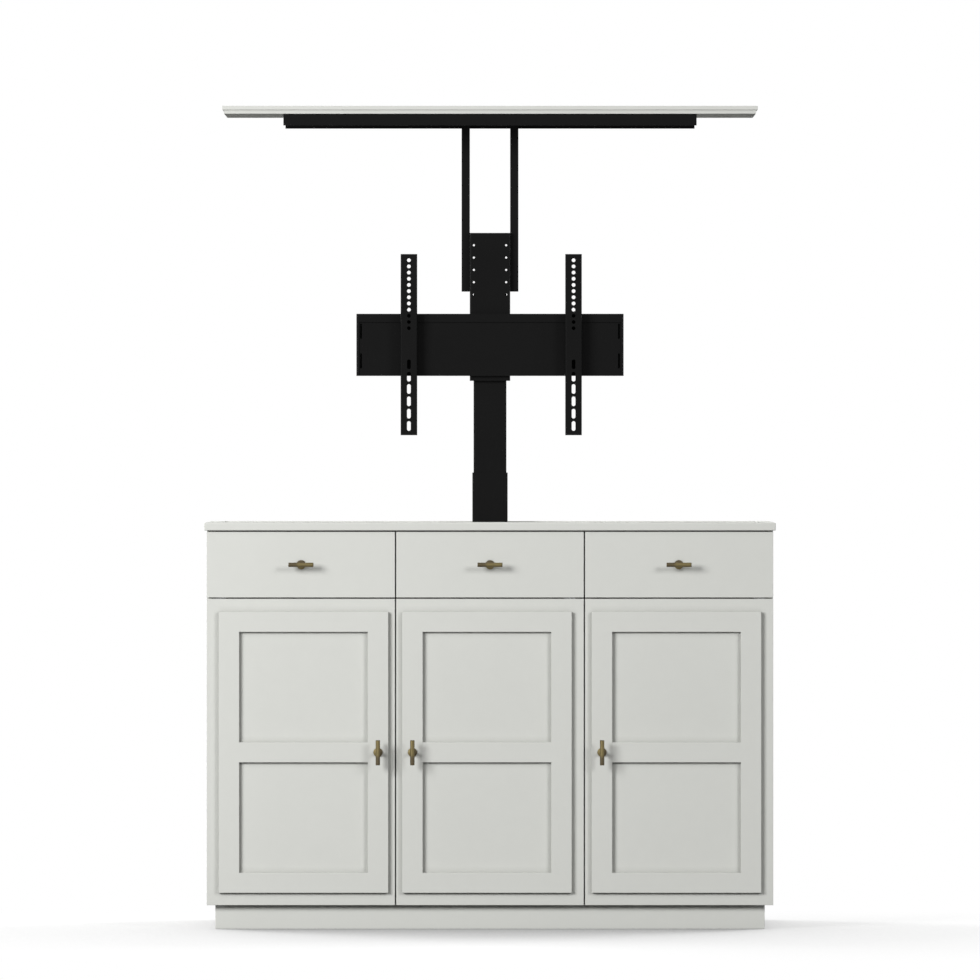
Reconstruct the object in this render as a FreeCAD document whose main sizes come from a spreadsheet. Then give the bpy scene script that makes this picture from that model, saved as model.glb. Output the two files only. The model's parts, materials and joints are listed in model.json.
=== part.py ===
import FreeCAD, Part
import os
from types import SimpleNamespace

import Sketcher

# Television lift cabinet: a three-bay cabinet with a drawer over a door in each bay, and behind
# them a full-width well from which a telescopic column raises the television arms and the lid.
# X runs left to right, Y from front to back, Z up from the floor. The column stands raised.

SIZES = {
    # top slab and carcass
    "cabinet_height": 975,
    "slab_width": 1370,
    "slab_depth": 500,
    "slab_thick": 19,
    "slab_overhang": 6,
    "slab_round": 2.5,
    "panel_thick": 18,
    "back_thick": 9,
    "partition_thick": 12,
    "carcass_gap": 4,
    "front_bay_depth": 132,
    "plinth_height": 58,
    "plinth_recess": 20,
    "plinth_board": 18,
    "rear_rail_height": 50,
    "rear_rail_thick": 12,
    "cross_rail_place": 109,
    "shelf_back_gap": 2,
    "shelf_front_gap": 6,
    "shelf_side_gap": 1,
    "shelf_level": 354,
    "shelf_pin_bore": 2.5,
    "shelf_pin_reach": 8,
    "shelf_pin_sink": 9,
    "shelf_pin_inset": 30,
    # door leaves, drawer fronts and their handles
    "face_setback": 6,
    "leaf_thick": 18,
    "leaf_gap": 3,
    "drawer_front_height": 157.5,
    "hinge_edge_chamfer": 6,
    "frame_thick": 10,
    "frame_hinge_margin": 29,
    "frame_free_margin": 17.5,
    "frame_bottom_margin": 30,
    "frame_top_margin": 31.3,
    "stile_width": 49,
    "rail_width": 48,
    "handle_length": 60,
    "handle_radius": 5.25,
    "handle_stand": 29,
    "handle_stem_radius": 4,
    "rose_radius": 11,
    "rose_thick": 3,
    # pivot hinges
    "pivot_inset": 14,
    "pivot_depth": 6,
    "pivot_radius": 2,
    "pivot_length": 9,
    "pivot_fit": 0.05,
    "bush_radius": 4,
    "bush_length": 10,
    "tongue_thick": 2.9,
    "tongue_room": 0.3,
    "tongue_side_room": 2,
    "tongue_nose": 4,
    "tongue_near": 8,
    "tongue_far": 32,
    "bracket_plate": 2.5,
    # drawer boxes and runners
    "drawer_side_room": 12.7,
    "drawer_box_lift": 20,
    "drawer_box_height": 100,
    "drawer_board": 12,
    "drawer_bottom": 6,
    "drawer_bottom_lift": 8,
    "drawer_back_room": 10,
    "runner_height": 35,
    "runner_sheet": 1.5,
    "runner_lip": 9,
    "runner_fit": 0.4,
    "runner_end_room": 3,
    "runner_lift": 30,
    # lid
    "lid_border": 38.5,
    "lid_depth": 300,
    "lid_place": 170,
    "lid_step": 9.5,
    "lid_inset": 4,
    "lid_gap": 1.5,
    "lid_seat_gap": 0.3,
    # telescopic column
    "column_place": 415,
    "inner_tube_side": 80,
    "tube_wall": 2,
    "tube_gap": 1,
    "tube_round": 4,
    "tube_round_inside": 2,
    "outer_tube_length": 402,
    "second_tube_length": 404,
    "third_tube_length": 408,
    "inner_tube_drop": 418,
    "tube_foot_gap": 4,
    "stage_stroke": 335,
    "glide_thick": 0.7,
    "glide_height": 40,
    "glide_margin": 12,
    "glide_lift": 5,
    "base_plate_width": 260,
    "base_plate_depth": 116,
    "base_plate_thick": 8,
    "column_hole_room": 1,
    "wall_bracket_width": 90,
    "wall_bracket_height": 50,
    "wall_bracket_sheet": 3,
    "wall_bracket_drop": 12,
    # drive and supply
    "motor_radius": 31,
    "motor_length": 150,
    "gearbox_length": 84,
    "gearbox_depth": 74,
    "gearbox_height": 62,
    "gearbox_lift": 6,
    "control_width": 150,
    "control_depth": 70,
    "control_height": 42,
    "control_place": 330,
    "inlet_width": 48,
    "inlet_height": 28,
    "inlet_length": 30,
    "inlet_flange": 6,
    "inlet_flange_thick": 2.5,
    "inlet_well": 18,
    "inlet_wall": 4,
    "inlet_level": 50,
    # lift head
    "sheet_thick": 2.5,
    "bracket_stand": 13,
    "bracket_width": 98.3,
    "bracket_height": 360,
    "bracket_drop": 283.6,
    "bracket_flange": 42.5,
    "bracket_toe": 6,
    "bracket_deep_height": 237.4,
    "bracket_bend": 4,
    "bracket_hole_radius": 2.5,
    "bracket_hole_place": 39.3,
    "bracket_hole_drop": 30,
    "bracket_hole_pitch": 30,
    "spacer_width": 50,
    "spacer_height": 100,
    "spacer_drop": 3,
    "crossplate_width": 650,
    "crossplate_height": 151,
    "crossplate_depth": 17.5,
    "crossplate_drop": 197.1,
    "crossplate_lip": 20.5,
    "crossplate_rim": 6.5,
    "crossplate_recess": 2.5,
    "crossplate_return": 22,
    "lip_groove": 1.5,
    "end_slot_width": 4.5,
    "end_slot_height": 36,
    "end_slot_inset": 11.3,
    "end_slot_pitch": 72,
    "end_slot_drop": 3,
    "arm_spacing": 400,
    "arms_shift": 3,
    "arm_width": 40,
    "arm_depth": 30,
    "arm_length": 440,
    "arm_rise": 144.7,
    "arm_hole_radius": 4.5,
    "arm_hole_pitch": 15,
    "arm_hole_drop": 15,
    "arm_slot_length": 23.4,
    "arm_slot_pitch": 30,
    "arm_slot_lift": 22.3,
    "arm_hook_reach": 10,
    "arm_hook_height": 14,
    "upright_side": 20,
    "upright_wall": 2,
    "upright_lap": 142.4,
    "upright_foot_width": 27,
    "upright_foot_thick": 4,
    "channel_length": 998,
    "channel_depth": 240,
    "channel_height": 28,
    "channel_setback": 8,
    "screw_radius": 2.25,
    "screw_length": 12,
    "screw_head_radius": 4.5,
    "screw_head_height": 2.5,
    "screw_inset": 60,
}

ARM_HOLES = 12
ARM_SLOTS = 6
BRACKET_HOLES = 5
SIDES = (("left", -1), ("right", 1))

doc = FreeCAD.newDocument("tv_lift_cabinet")


class Length:
    """A length held as a number and as the matching expression on the sheet."""

    def __init__(self, number, text=None):
        self.number = float(number)
        self.text = repr(float(number)) if text is None else text

    def __add__(self, other):
        other = length(other)
        return Length(self.number + other.number, f"({self.text} + {other.text})")

    def __sub__(self, other):
        other = length(other)
        return Length(self.number - other.number, f"({self.text} - {other.text})")

    def __mul__(self, factor):
        return Length(self.number * factor, f"({self.text} * {factor})")

    def __truediv__(self, divisor):
        return Length(self.number / divisor, f"({self.text} / {divisor})")

    def __neg__(self):
        return self * -1

    __rmul__ = __mul__
    __radd__ = __add__


def length(value):
    """Give a plain number the form of a Length."""
    return value if isinstance(value, Length) else Length(value)


def driving_sheet():
    """Make the sheet of driving dimensions and return a name space of Lengths on it."""
    sheet = doc.addObject("Spreadsheet::Sheet", "dims")
    for row, (name, size) in enumerate(SIZES.items(), start=1):
        sheet.set(f"A{row}", name)
        sheet.set(f"B{row}", str(size))
        sheet.setAlias(f"B{row}", name)
    doc.recompute()
    return SimpleNamespace(**{name: Length(size, f"dims.{name}") for name, size in SIZES.items()})


d = driving_sheet()
nodes = []


# ---- building helpers ----

def bind(target, name, value):
    """Tie one property, or one part of a placement, to the sheet."""
    target.setExpression(name, length(value).text)


def place(target, x, y, z):
    """Tie the base point of a placement to the sheet."""
    bind(target, "Placement.Base.x", x)
    bind(target, "Placement.Base.y", y)
    bind(target, "Placement.Base.z", z)
    return target


def node(target, label):
    """Name a finished sub-part and mark it to be written out."""
    target.Label = label
    nodes.append(target)
    return target


def block(x, y, z, name="block"):
    """A box between two planes along each axis, each pair given low to high."""
    made = doc.addObject("Part::Box", name)
    for side, (low, high) in zip(("Length", "Width", "Height"), (x, y, z)):
        bind(made, side, length(high) - length(low))
    return place(made, x[0], y[0], z[0])


def rod(axis, radius, reach, at, name="rod"):
    """A cylinder that starts at a point and runs a length along +X, +Y, -Y or +Z."""
    turns = {
        "x": FreeCAD.Rotation(FreeCAD.Vector(0, 1, 0), 90),
        "y": FreeCAD.Rotation(FreeCAD.Vector(1, 0, 0), -90),
        "-y": FreeCAD.Rotation(FreeCAD.Vector(1, 0, 0), 90),
        "z": FreeCAD.Rotation(),
    }
    made = doc.addObject("Part::Cylinder", name)
    made.Placement = FreeCAD.Placement(FreeCAD.Vector(), turns[axis])
    bind(made, "Radius", radius)
    bind(made, "Height", reach)
    return place(made, *at)


def joined(pieces, name="joined"):
    """One solid from several that touch or overlap."""
    made = doc.addObject("Part::MultiFuse", name)
    made.Shapes = pieces
    made.Refine = True
    return made


def grouped(pieces, name="grouped"):
    """Separate solids kept as one object."""
    made = doc.addObject("Part::Compound", name)
    made.Links = pieces
    return made


def cut(base, tools, name="cut"):
    """A base with every tool taken out of it."""
    made = doc.addObject("Part::Cut", name)
    made.Base = base
    made.Tool = tools[0] if len(tools) == 1 else joined(tools, "cutters")
    return made


def body(name, x, y, z):
    """An empty body at a place tied to the sheet."""
    return place(doc.addObject("PartDesign::Body", name), x, y, z)


def sketch(owner, plane, name="sketch"):
    """A sketch on one of the body's own origin planes."""
    made = owner.newObject("Sketcher::SketchObject", name)
    support = [feature for feature in owner.Origin.OriginFeatures if feature.Role == plane]
    made.AttachmentSupport = [(support[0], "")]
    made.MapMode = "FlatFace"
    return made


def fix_point(target, index, point, u, v):
    """Hold one point of the sketch at two distances from its origin."""
    for kind, value in (("DistanceX", u), ("DistanceY", v)):
        value = length(value)
        row = target.addConstraint(Sketcher.Constraint(kind, -1, 1, index, point, value.number))
        bind(target, f"Constraints[{row}]", value)


def fix_radius(target, index, radius):
    """Hold the radius of a circle or arc of the sketch."""
    row = target.addConstraint(Sketcher.Constraint("Radius", index, radius.number))
    bind(target, f"Constraints[{row}]", radius)


def vector(u, v):
    return FreeCAD.Vector(length(u).number, length(v).number, 0)


def loop(target, corners):
    """A closed loop of straight edges through the corners."""
    first = target.GeometryCount
    count = len(corners)
    for start, end in zip(corners, corners[1:] + corners[:1]):
        target.addGeometry(Part.LineSegment(vector(*start), vector(*end)), False)
    for step in range(count):
        following = first + (step + 1) % count
        target.addConstraint(Sketcher.Constraint("Coincident", first + step, 2, following, 1))
    for step, corner in enumerate(corners):
        fix_point(target, first + step, 1, *corner)


def rectangle(target, u, v):
    """A closed loop between two values across and two values up."""
    loop(target, [(u[0], v[0]), (u[1], v[0]), (u[1], v[1]), (u[0], v[1])])


def circle(target, u, v, radius):
    """A full circle about a point."""
    index = target.addGeometry(Part.Circle(vector(u, v), FreeCAD.Vector(0, 0, 1), radius.number), False)
    fix_point(target, index, 3, u, v)
    fix_radius(target, index, radius)


def upright_slot(target, u, v, width, height):
    """A slot with round ends that stands upright about a point."""
    radius = width / 2
    reach = (height - width) / 2
    half_turn = 3.141592653589793
    up = FreeCAD.Vector(0, 0, 1)
    first = target.GeometryCount
    top, bottom, left, right = first, first + 1, first + 2, first + 3
    top_circle = Part.Circle(vector(u, length(v) + reach), up, radius.number)
    bottom_circle = Part.Circle(vector(u, length(v) - reach), up, radius.number)
    target.addGeometry(Part.ArcOfCircle(top_circle, 0, half_turn), False)
    target.addGeometry(Part.ArcOfCircle(bottom_circle, half_turn, 2 * half_turn), False)
    for side in (-1, 1):
        across = length(u) + radius * side
        ends = (vector(across, length(v) + reach), vector(across, length(v) - reach))
        target.addGeometry(Part.LineSegment(*ends), False)
    for arc, centre in ((top, length(v) + reach), (bottom, length(v) - reach)):
        fix_point(target, arc, 3, u, centre)
        fix_radius(target, arc, radius)
        for end in (1, 2):
            target.addConstraint(Sketcher.Constraint("Horizontal", arc, 3, arc, end))
    pairs = ((top, 2, left, 1), (top, 1, right, 1), (bottom, 1, left, 2), (bottom, 2, right, 2))
    for pair in pairs:
        target.addConstraint(Sketcher.Constraint("Coincident", *pair))


def pad(owner, profile, reach, symmetric=False, flip=False, name="pad"):
    """Pad a sketch by a length."""
    made = owner.newObject("PartDesign::Pad", name)
    made.Profile = profile
    bind(made, "Length", reach)
    made.Reversed = flip
    if symmetric:
        made.SideType = "Symmetric"
    doc.recompute()
    return made


def pocket(owner, profile, name="pocket"):
    """Cut a sketch right through the body both ways."""
    before = owner.Shape.Volume
    made = owner.newObject("PartDesign::Pocket", name)
    made.Profile = profile
    made.Type = "ThroughAll"
    made.SideType = "Symmetric"
    doc.recompute()
    if made.Shape.Volume >= before:
        raise RuntimeError(f"{owner.Name}: {name} cuts nothing")
    return made


def repeat_up(owner, feature, profile, pitch, count, name="pattern"):
    """Repeat a pocket upward at a pitch."""
    made = owner.newObject("PartDesign::LinearPattern", name)
    made.Originals = [feature]
    made.Direction = (profile, ["V_Axis"])
    bind(made, "Length", pitch * (count - 1))
    made.Occurrences = count
    owner.Tip = made
    doc.recompute()
    return made


def rounded(owner, radius, chosen, name="round"):
    """Round the edges of the body's tip that a test picks out."""
    tip = owner.Tip
    picked = [f"Edge{count}" for count, edge in enumerate(tip.Shape.Edges, start=1) if chosen(edge)]
    made = owner.newObject("PartDesign::Fillet", name)
    made.Base = (tip, picked)
    bind(made, "Radius", radius)
    doc.recompute()
    return made


def is_upright(edge):
    """Whether an edge runs parallel to Z."""
    box = edge.BoundBox
    return box.XLength < 1e-6 and box.YLength < 1e-6


# ---- planes shared by several sub-parts ----

body_half = d.slab_width / 2 - d.slab_overhang
bay_width = body_half * 2 / 3
slab_front = (d.frame_thick + d.handle_stand + d.handle_radius - d.face_setback - d.slab_depth) / 2
face_y = slab_front + d.face_setback
leaf_back_y = face_y + d.leaf_thick
carcass_y = leaf_back_y + d.carcass_gap
partition_y = carcass_y + d.front_bay_depth
well_y = partition_y + d.partition_thick
rear_y = slab_front + d.slab_depth - d.slab_overhang
back_y = rear_y - d.back_thick

floor_z = d.plinth_height + d.panel_thick
slab_z = d.cabinet_height - d.slab_thick
drawer_top_z = slab_z - d.leaf_gap
drawer_z = drawer_top_z - d.drawer_front_height
door_top_z = drawer_z - d.leaf_gap
door_z = d.plinth_height
rail_z = door_top_z + d.leaf_gap / 2 - d.panel_thick / 2
rail_top_z = rail_z + d.panel_thick

frame_width = bay_width - d.frame_hinge_margin - d.frame_free_margin
frame_height = door_top_z - door_z - d.frame_bottom_margin - d.frame_top_margin

side_x = body_half - d.panel_thick
divider_in = bay_width / 2 - d.panel_thick / 2
divider_out = bay_width / 2 + d.panel_thick / 2

lid_half = d.slab_width / 2 - d.lid_border
lid_y = slab_front + d.lid_place
lid_back_y = lid_y + d.lid_depth
raise_height = d.stage_stroke * 3
lid_top_z = d.cabinet_height + raise_height
lid_z = lid_top_z - d.slab_thick

column_y = slab_front + d.column_place
third_side = d.inner_tube_side + d.tube_wall * 2 + d.tube_gap * 2
second_side = third_side + d.tube_wall * 2 + d.tube_gap * 2
outer_side = second_side + d.tube_wall * 2 + d.tube_gap * 2
outer_top_z = d.base_plate_thick + d.outer_tube_length

tube_front_y = column_y - d.inner_tube_side / 2
bracket_back_y = tube_front_y - d.bracket_stand
bracket_y = bracket_back_y - d.sheet_thick
crossplate_y = bracket_y - d.crossplate_depth
arm_y = crossplate_y - d.arm_depth
bracket_top_z = lid_z - d.bracket_drop
bracket_z = bracket_top_z - d.bracket_height
crossplate_top_z = bracket_top_z - d.crossplate_drop
crossplate_z = crossplate_top_z - d.crossplate_height
arm_top_z = crossplate_top_z + d.arm_rise
arm_z = arm_top_z - d.arm_length
inner_z = d.base_plate_thick + d.tube_foot_gap * 3 + d.stage_stroke * 3
inner_top_z = lid_z - d.inner_tube_drop
channel_y = lid_y + d.channel_setback
channel_z = lid_z - d.channel_height
channel_web_z = lid_z - d.sheet_thick

# Clear width between the carcass walls of each bay, low to high.
bay_walls = {
    "left": (-side_x, -divider_out),
    "middle": (-divider_in, divider_in),
    "right": (divider_out, side_x),
}
# Low and high edge of the door leaf and drawer front of each bay.
leaf_edges = {
    "left": (-body_half, -bay_width / 2 - d.leaf_gap / 2),
    "middle": (-bay_width / 2 + d.leaf_gap / 2, bay_width / 2 - d.leaf_gap / 2),
    "right": (bay_width / 2 + d.leaf_gap / 2, body_half),
}
# Side of each door that carries its pivots: -1 is its left edge, 1 its right edge.
hinge_sides = {"left": -1, "middle": 1, "right": 1}


# ---- cabinet ----

def top_panel():
    """Slab with a stepped opening that the lid drops into."""
    x_edge = lid_half + d.lid_gap
    x_clear = x_edge - d.lid_inset
    y_edge = (lid_y - d.lid_gap, lid_back_y + d.lid_gap)
    y_clear = (y_edge[0] + d.lid_inset, y_edge[1] - d.lid_inset)
    slab = body("slab_blank", 0, slab_front, slab_z)
    outline = sketch(slab, "XY_Plane")
    rectangle(outline, (-d.slab_width / 2, d.slab_width / 2), (0, d.slab_depth))
    rectangle(outline, (-x_clear, x_clear), (y_clear[0] - slab_front, y_clear[1] - slab_front))
    pad(slab, outline, d.slab_thick)
    half = d.slab_width.number / 2

    def is_outer(edge):
        box = edge.BoundBox
        at_side = box.XLength < 1e-6 and abs(abs(box.XMin) - half) < 1e-6
        at_end = box.YLength < 1e-6 and min(abs(box.YMin), abs(box.YMin - d.slab_depth.number)) < 1e-6
        return at_side or at_end

    rounded(slab, d.slab_round, is_outer)
    seat_z = d.cabinet_height - d.lid_step - d.lid_seat_gap
    seat = block((-x_edge, x_edge), y_edge, (seat_z, d.cabinet_height + 1))
    node(cut(slab, [seat]), "top_panel")


def pin_places(name):
    """Places in Y and Z of the shelf pins of one bay wall."""
    level = floor_z + d.shelf_level - d.shelf_pin_bore
    front = carcass_y + d.shelf_front_gap + d.shelf_pin_inset
    rear = partition_y - d.shelf_back_gap - d.shelf_pin_inset
    return [(front, level), (rear, level)]


def pin_sockets(wall_x, toward):
    """Sockets for the shelf pins of one bay, sunk into a wall away from the bay."""
    start = wall_x - d.shelf_pin_sink if toward > 0 else wall_x
    places = pin_places("socket")
    return [rod("x", d.shelf_pin_bore, d.shelf_pin_sink, (start, y, z), "socket") for y, z in places]


def carcass_panels():
    """Sides, dividers, floor, back, partition and rails."""
    rise = (d.plinth_height, slab_z)
    for name, side in SIDES:
        x = (-body_half, -side_x) if side < 0 else (side_x, body_half)
        panel = block(x, (carcass_y, rear_y), rise)
        node(cut(panel, pin_sockets(side_x * side, -side)), f"{name}_side_panel")
        x = (-divider_out, -divider_in) if side < 0 else (divider_in, divider_out)
        panel = block(x, (carcass_y, partition_y), (floor_z, slab_z))
        sockets = pin_sockets(divider_in * side, -side) + pin_sockets(divider_out * side, side)
        node(cut(panel, sockets), f"{name}_divider")

    hole = outer_side / 2 + d.column_hole_room
    floor = block((-side_x, side_x), (carcass_y, back_y), (d.plinth_height, floor_z))
    well = block((-hole, hole), (column_y - hole, column_y + hole), (d.plinth_height - 1, floor_z + 1))
    node(cut(floor, [well]), "bottom_panel")

    inlet_x = -d.control_place
    inlet_z = floor_z + d.inlet_level
    back = block((-side_x, side_x), (back_y, rear_y), (d.plinth_height, slab_z))
    port = block((inlet_x - d.inlet_width / 2, inlet_x + d.inlet_width / 2), (back_y - 1, rear_y + 1),
                 (inlet_z - d.inlet_height / 2, inlet_z + d.inlet_height / 2))
    node(cut(back, [port]), "back_panel")

    node(block((-side_x, side_x), (partition_y, well_y), (floor_z, slab_z)), "bay_partition")

    rails = [block(walls, (carcass_y, partition_y), (rail_z, rail_top_z)) for walls in bay_walls.values()]
    rails.append(block((-side_x, side_x), (back_y - d.rear_rail_thick, back_y),
                       (slab_z - d.rear_rail_height, slab_z)))
    node(grouped(rails), "carcass_rails")


def plinth():
    """Set-back base: a front board, and rails behind it that carry the floor of the cabinet."""
    half = body_half - d.plinth_recess
    rise = (0, d.plinth_height)
    inner_y = carcass_y + d.plinth_board
    rear_in = rear_y - d.plinth_board
    node(block((-half, half), (carcass_y, inner_y), rise), "plinth_front")
    rails = [
        block((-half, half), (rear_in, rear_y), rise),
        block((-half, -half + d.plinth_board), (inner_y, rear_in), rise),
        block((half - d.plinth_board, half), (inner_y, rear_in), rise),
    ]
    for side in (-1, 1):
        centre = d.cross_rail_place * side
        x = (centre - d.plinth_board / 2, centre + d.plinth_board / 2)
        rails.append(block(x, (inner_y, rear_in), (d.base_plate_thick, d.plinth_height)))
    node(grouped(rails), "plinth_rails")


def shelves():
    """One loose shelf in each door bay, on four pins."""
    boards = []
    pins = []
    level = floor_z + d.shelf_level
    for low, high in bay_walls.values():
        x = (low + d.shelf_side_gap, high - d.shelf_side_gap)
        y = (carcass_y + d.shelf_front_gap, partition_y - d.shelf_back_gap)
        boards.append(block(x, y, (level, level + d.panel_thick)))
        pin_length = d.shelf_pin_sink + d.shelf_pin_reach
        for start in (low - d.shelf_pin_sink, high - d.shelf_pin_reach):
            pins += [rod("x", d.shelf_pin_bore, pin_length, (start, y, z), "pin") for y, z in pin_places("pin")]
    node(grouped(boards), "shelves")
    node(grouped(pins), "shelf_pins")


# ---- doors ----

def pivot_x(bay):
    """Place in X of the pivots of a door."""
    low, high = leaf_edges[bay]
    return low + d.pivot_inset if hinge_sides[bay] < 0 else high - d.pivot_inset


def frame_edges(bay):
    """Low and high edge of the frame planted on a door leaf."""
    low, high = leaf_edges[bay]
    if hinge_sides[bay] < 0:
        return low + d.frame_hinge_margin, low + d.frame_hinge_margin + frame_width
    return high - d.frame_hinge_margin - frame_width, high - d.frame_hinge_margin


def door_leaf(bay):
    """Flat leaf with a relieved hinge edge, two corner notches and two bores for the bushes."""
    side = hinge_sides[bay]
    low, high = leaf_edges[bay]
    edge = low if side < 0 else high
    bevel = d.hinge_edge_chamfer
    leaf = body(f"{bay}_leaf_blank", 0, 0, door_z)
    outline = sketch(leaf, "XY_Plane")
    if side < 0:
        corners = [(low, face_y), (high, face_y), (high, leaf_back_y), (low + bevel, leaf_back_y),
                   (low, leaf_back_y - bevel)]
    else:
        corners = [(low, face_y), (high, face_y), (high, leaf_back_y - bevel),
                   (high - bevel, leaf_back_y), (low, leaf_back_y)]
    loop(outline, corners)
    pad(leaf, outline, door_top_z - door_z)

    pin_y = face_y + d.pivot_depth
    notch_reach = d.pivot_inset + d.tongue_far + d.tongue_side_room
    notch_x = (edge - 1, edge + notch_reach) if side < 0 else (edge - notch_reach, edge + 1)
    notch_y = (pin_y - d.tongue_nose - d.tongue_room, leaf_back_y + 1)
    depth = d.tongue_thick + d.tongue_room
    tools = [
        block(notch_x, notch_y, (door_z - 1, door_z + depth)),
        block(notch_x, notch_y, (door_top_z - depth, door_top_z + 1)),
    ]
    for start in (door_z + depth, door_top_z - depth - d.bush_length):
        tools.append(rod("z", d.bush_radius, d.bush_length, (pivot_x(bay), pin_y, start)))
    node(cut(leaf, tools), f"{bay}_door_leaf")


def door_frame(bay):
    """Raised frame of two stiles and three rails, planted on the face of the leaf."""
    low, high = frame_edges(bay)
    bottom = door_z + d.frame_bottom_margin
    panel_height = (frame_height - d.rail_width * 3) / 2
    frame = body(f"{bay}_door_frame", low, face_y, bottom)
    outline = sketch(frame, "XZ_Plane")
    rectangle(outline, (0, frame_width), (0, frame_height))
    inner = (d.stile_width, frame_width - d.stile_width)
    for start in (d.rail_width, d.rail_width * 2 + panel_height):
        rectangle(outline, inner, (start, start + panel_height))
    pad(frame, outline, d.frame_thick)
    node(frame, f"{bay}_door_frame")


def door_bushes(bay):
    """Two bushes let into the leaf, one at each pivot."""
    bushes = []
    pin_y = face_y + d.pivot_depth
    depth = d.tongue_thick + d.tongue_room
    for start in (door_z + depth, door_top_z - depth - d.bush_length):
        at = (pivot_x(bay), pin_y, start)
        outer = rod("z", d.bush_radius, d.bush_length, at)
        bore = rod("z", d.pivot_radius + d.pivot_fit, d.bush_length, at)
        bushes.append(cut(outer, [bore]))
    node(grouped(bushes), f"{bay}_door_bushes")


def pivot_bracket(bay, at_top):
    """Screwed plate with a tongue that reaches into the leaf's notch and carries a pin."""
    side = hinge_sides[bay]
    pin_x = pivot_x(bay)
    pin_y = face_y + d.pivot_depth
    inward = -side
    plate_y = carcass_y - d.bracket_plate
    tongue_z = door_top_z - d.tongue_thick if at_top else door_z
    tongue = body(f"{bay}_tongue", pin_x, pin_y, tongue_z)
    outline = sketch(tongue, "XY_Plane")
    reach = carcass_y - pin_y
    nose = d.tongue_nose
    corners = [(nose * side, 0), (d.tongue_near * inward, reach), (d.tongue_far * inward, reach),
               (nose * inward, 0)]
    loop(outline, corners)
    pad(tongue, outline, d.tongue_thick)
    plate_x = sorted((pin_x + d.tongue_near * inward, pin_x + d.tongue_far * inward), key=lambda x: x.number)
    plate_low = rail_z if at_top else d.plinth_height
    pieces = [
        tongue,
        rod("z", nose, d.tongue_thick, (pin_x, pin_y, tongue_z)),
        block(plate_x, (plate_y, carcass_y), (plate_low, plate_low + d.panel_thick)),
    ]
    pin_z = tongue_z - d.pivot_length if at_top else tongue_z + d.tongue_thick
    pieces.append(rod("z", d.pivot_radius, d.pivot_length, (pin_x, pin_y, pin_z)))
    return joined(pieces)


def tee_handle(label, along, x, surface_y, z):
    """Round bar on a single stem and rose, lying across or standing up."""
    bar_y = surface_y - d.handle_stand
    half = d.handle_length / 2
    start = (x - half, bar_y, z) if along == "x" else (x, bar_y, z - half)
    pieces = [
        rod("-y", d.rose_radius, d.rose_thick, (x, surface_y, z)),
        rod("-y", d.handle_stem_radius, d.handle_stand, (x, surface_y, z)),
        rod(along, d.handle_radius, d.handle_length, start),
    ]
    node(joined(pieces), label)


def door(bay):
    """Leaf, planted frame, bushes and handle of one door."""
    door_leaf(bay)
    door_frame(bay)
    door_bushes(bay)
    low, high = frame_edges(bay)
    free_stile = high - d.stile_width / 2 if hinge_sides[bay] < 0 else low + d.stile_width / 2
    middle_rail = door_z + d.frame_bottom_margin + frame_height / 2
    tee_handle(f"{bay}_door_handle", "z", free_stile, face_y - d.frame_thick, middle_rail)


# ---- drawers ----

def runner(wall_x, toward, span, inner):
    """Folded steel runner: a web on one wall and two lips that point across the gap."""
    sheet = d.runner_sheet
    room = sheet + d.runner_fit if inner else length(0)
    low_z = drawer_z + d.runner_lift
    height = (low_z + room, low_z + d.runner_height - room)
    far = wall_x + d.runner_lip * toward
    x = (wall_x, far) if toward > 0 else (far, wall_x)
    solid = block(x, span, height)
    near_wall = wall_x + sheet * toward
    mouth = far + toward
    hollow_x = (near_wall, mouth) if toward > 0 else (mouth, near_wall)
    hollow = block(hollow_x, (span[0] - 1, span[1] + 1), (height[0] + sheet, height[1] - sheet))
    return cut(solid, [hollow])


def drawer(bay):
    """Front, box of five boards, two inner runners and handle of one drawer."""
    low, high = leaf_edges[bay]
    node(block((low, high), (face_y, leaf_back_y), (drawer_z, drawer_top_z)), f"{bay}_drawer_front")

    wall_low, wall_high = bay_walls[bay]
    x = (wall_low + d.drawer_side_room, wall_high - d.drawer_side_room)
    y = (leaf_back_y, partition_y - d.drawer_back_room)
    z = (drawer_z + d.drawer_box_lift, drawer_z + d.drawer_box_lift + d.drawer_box_height)
    board = d.drawer_board
    inner_x = (x[0] + board, x[1] - board)
    bottom_z = z[0] + d.drawer_bottom_lift
    boards = [
        block((x[0], inner_x[0]), y, z),
        block((inner_x[1], x[1]), y, z),
        block(inner_x, (y[0], y[0] + board), z),
        block(inner_x, (y[1] - board, y[1]), z),
        block(inner_x, (y[0] + board, y[1] - board), (bottom_z, bottom_z + d.drawer_bottom)),
    ]
    node(grouped(boards), f"{bay}_drawer_box")

    span = (carcass_y, y[1])
    inner = [runner(x[0], -1, span, True), runner(x[1], 1, span, True)]
    node(grouped(inner), f"{bay}_drawer_runners")

    centre = bay_width * {"left": -1, "middle": 0, "right": 1}[bay]
    tee_handle(f"{bay}_drawer_handle", "x", centre, face_y, (drawer_z + drawer_top_z) / 2)


def cabinet_hardware():
    """Pivot brackets and outer drawer runners, fixed to the carcass."""
    brackets = [pivot_bracket(bay, at_top) for bay in bay_walls for at_top in (False, True)]
    node(grouped(brackets), "pivot_brackets")
    span = (carcass_y + d.runner_end_room, partition_y - d.runner_end_room)
    outer = []
    for low, high in bay_walls.values():
        outer.append(runner(low, 1, span, False))
        outer.append(runner(high, -1, span, False))
    node(grouped(outer), "drawer_outer_runners")


# ---- telescopic column ----

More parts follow.
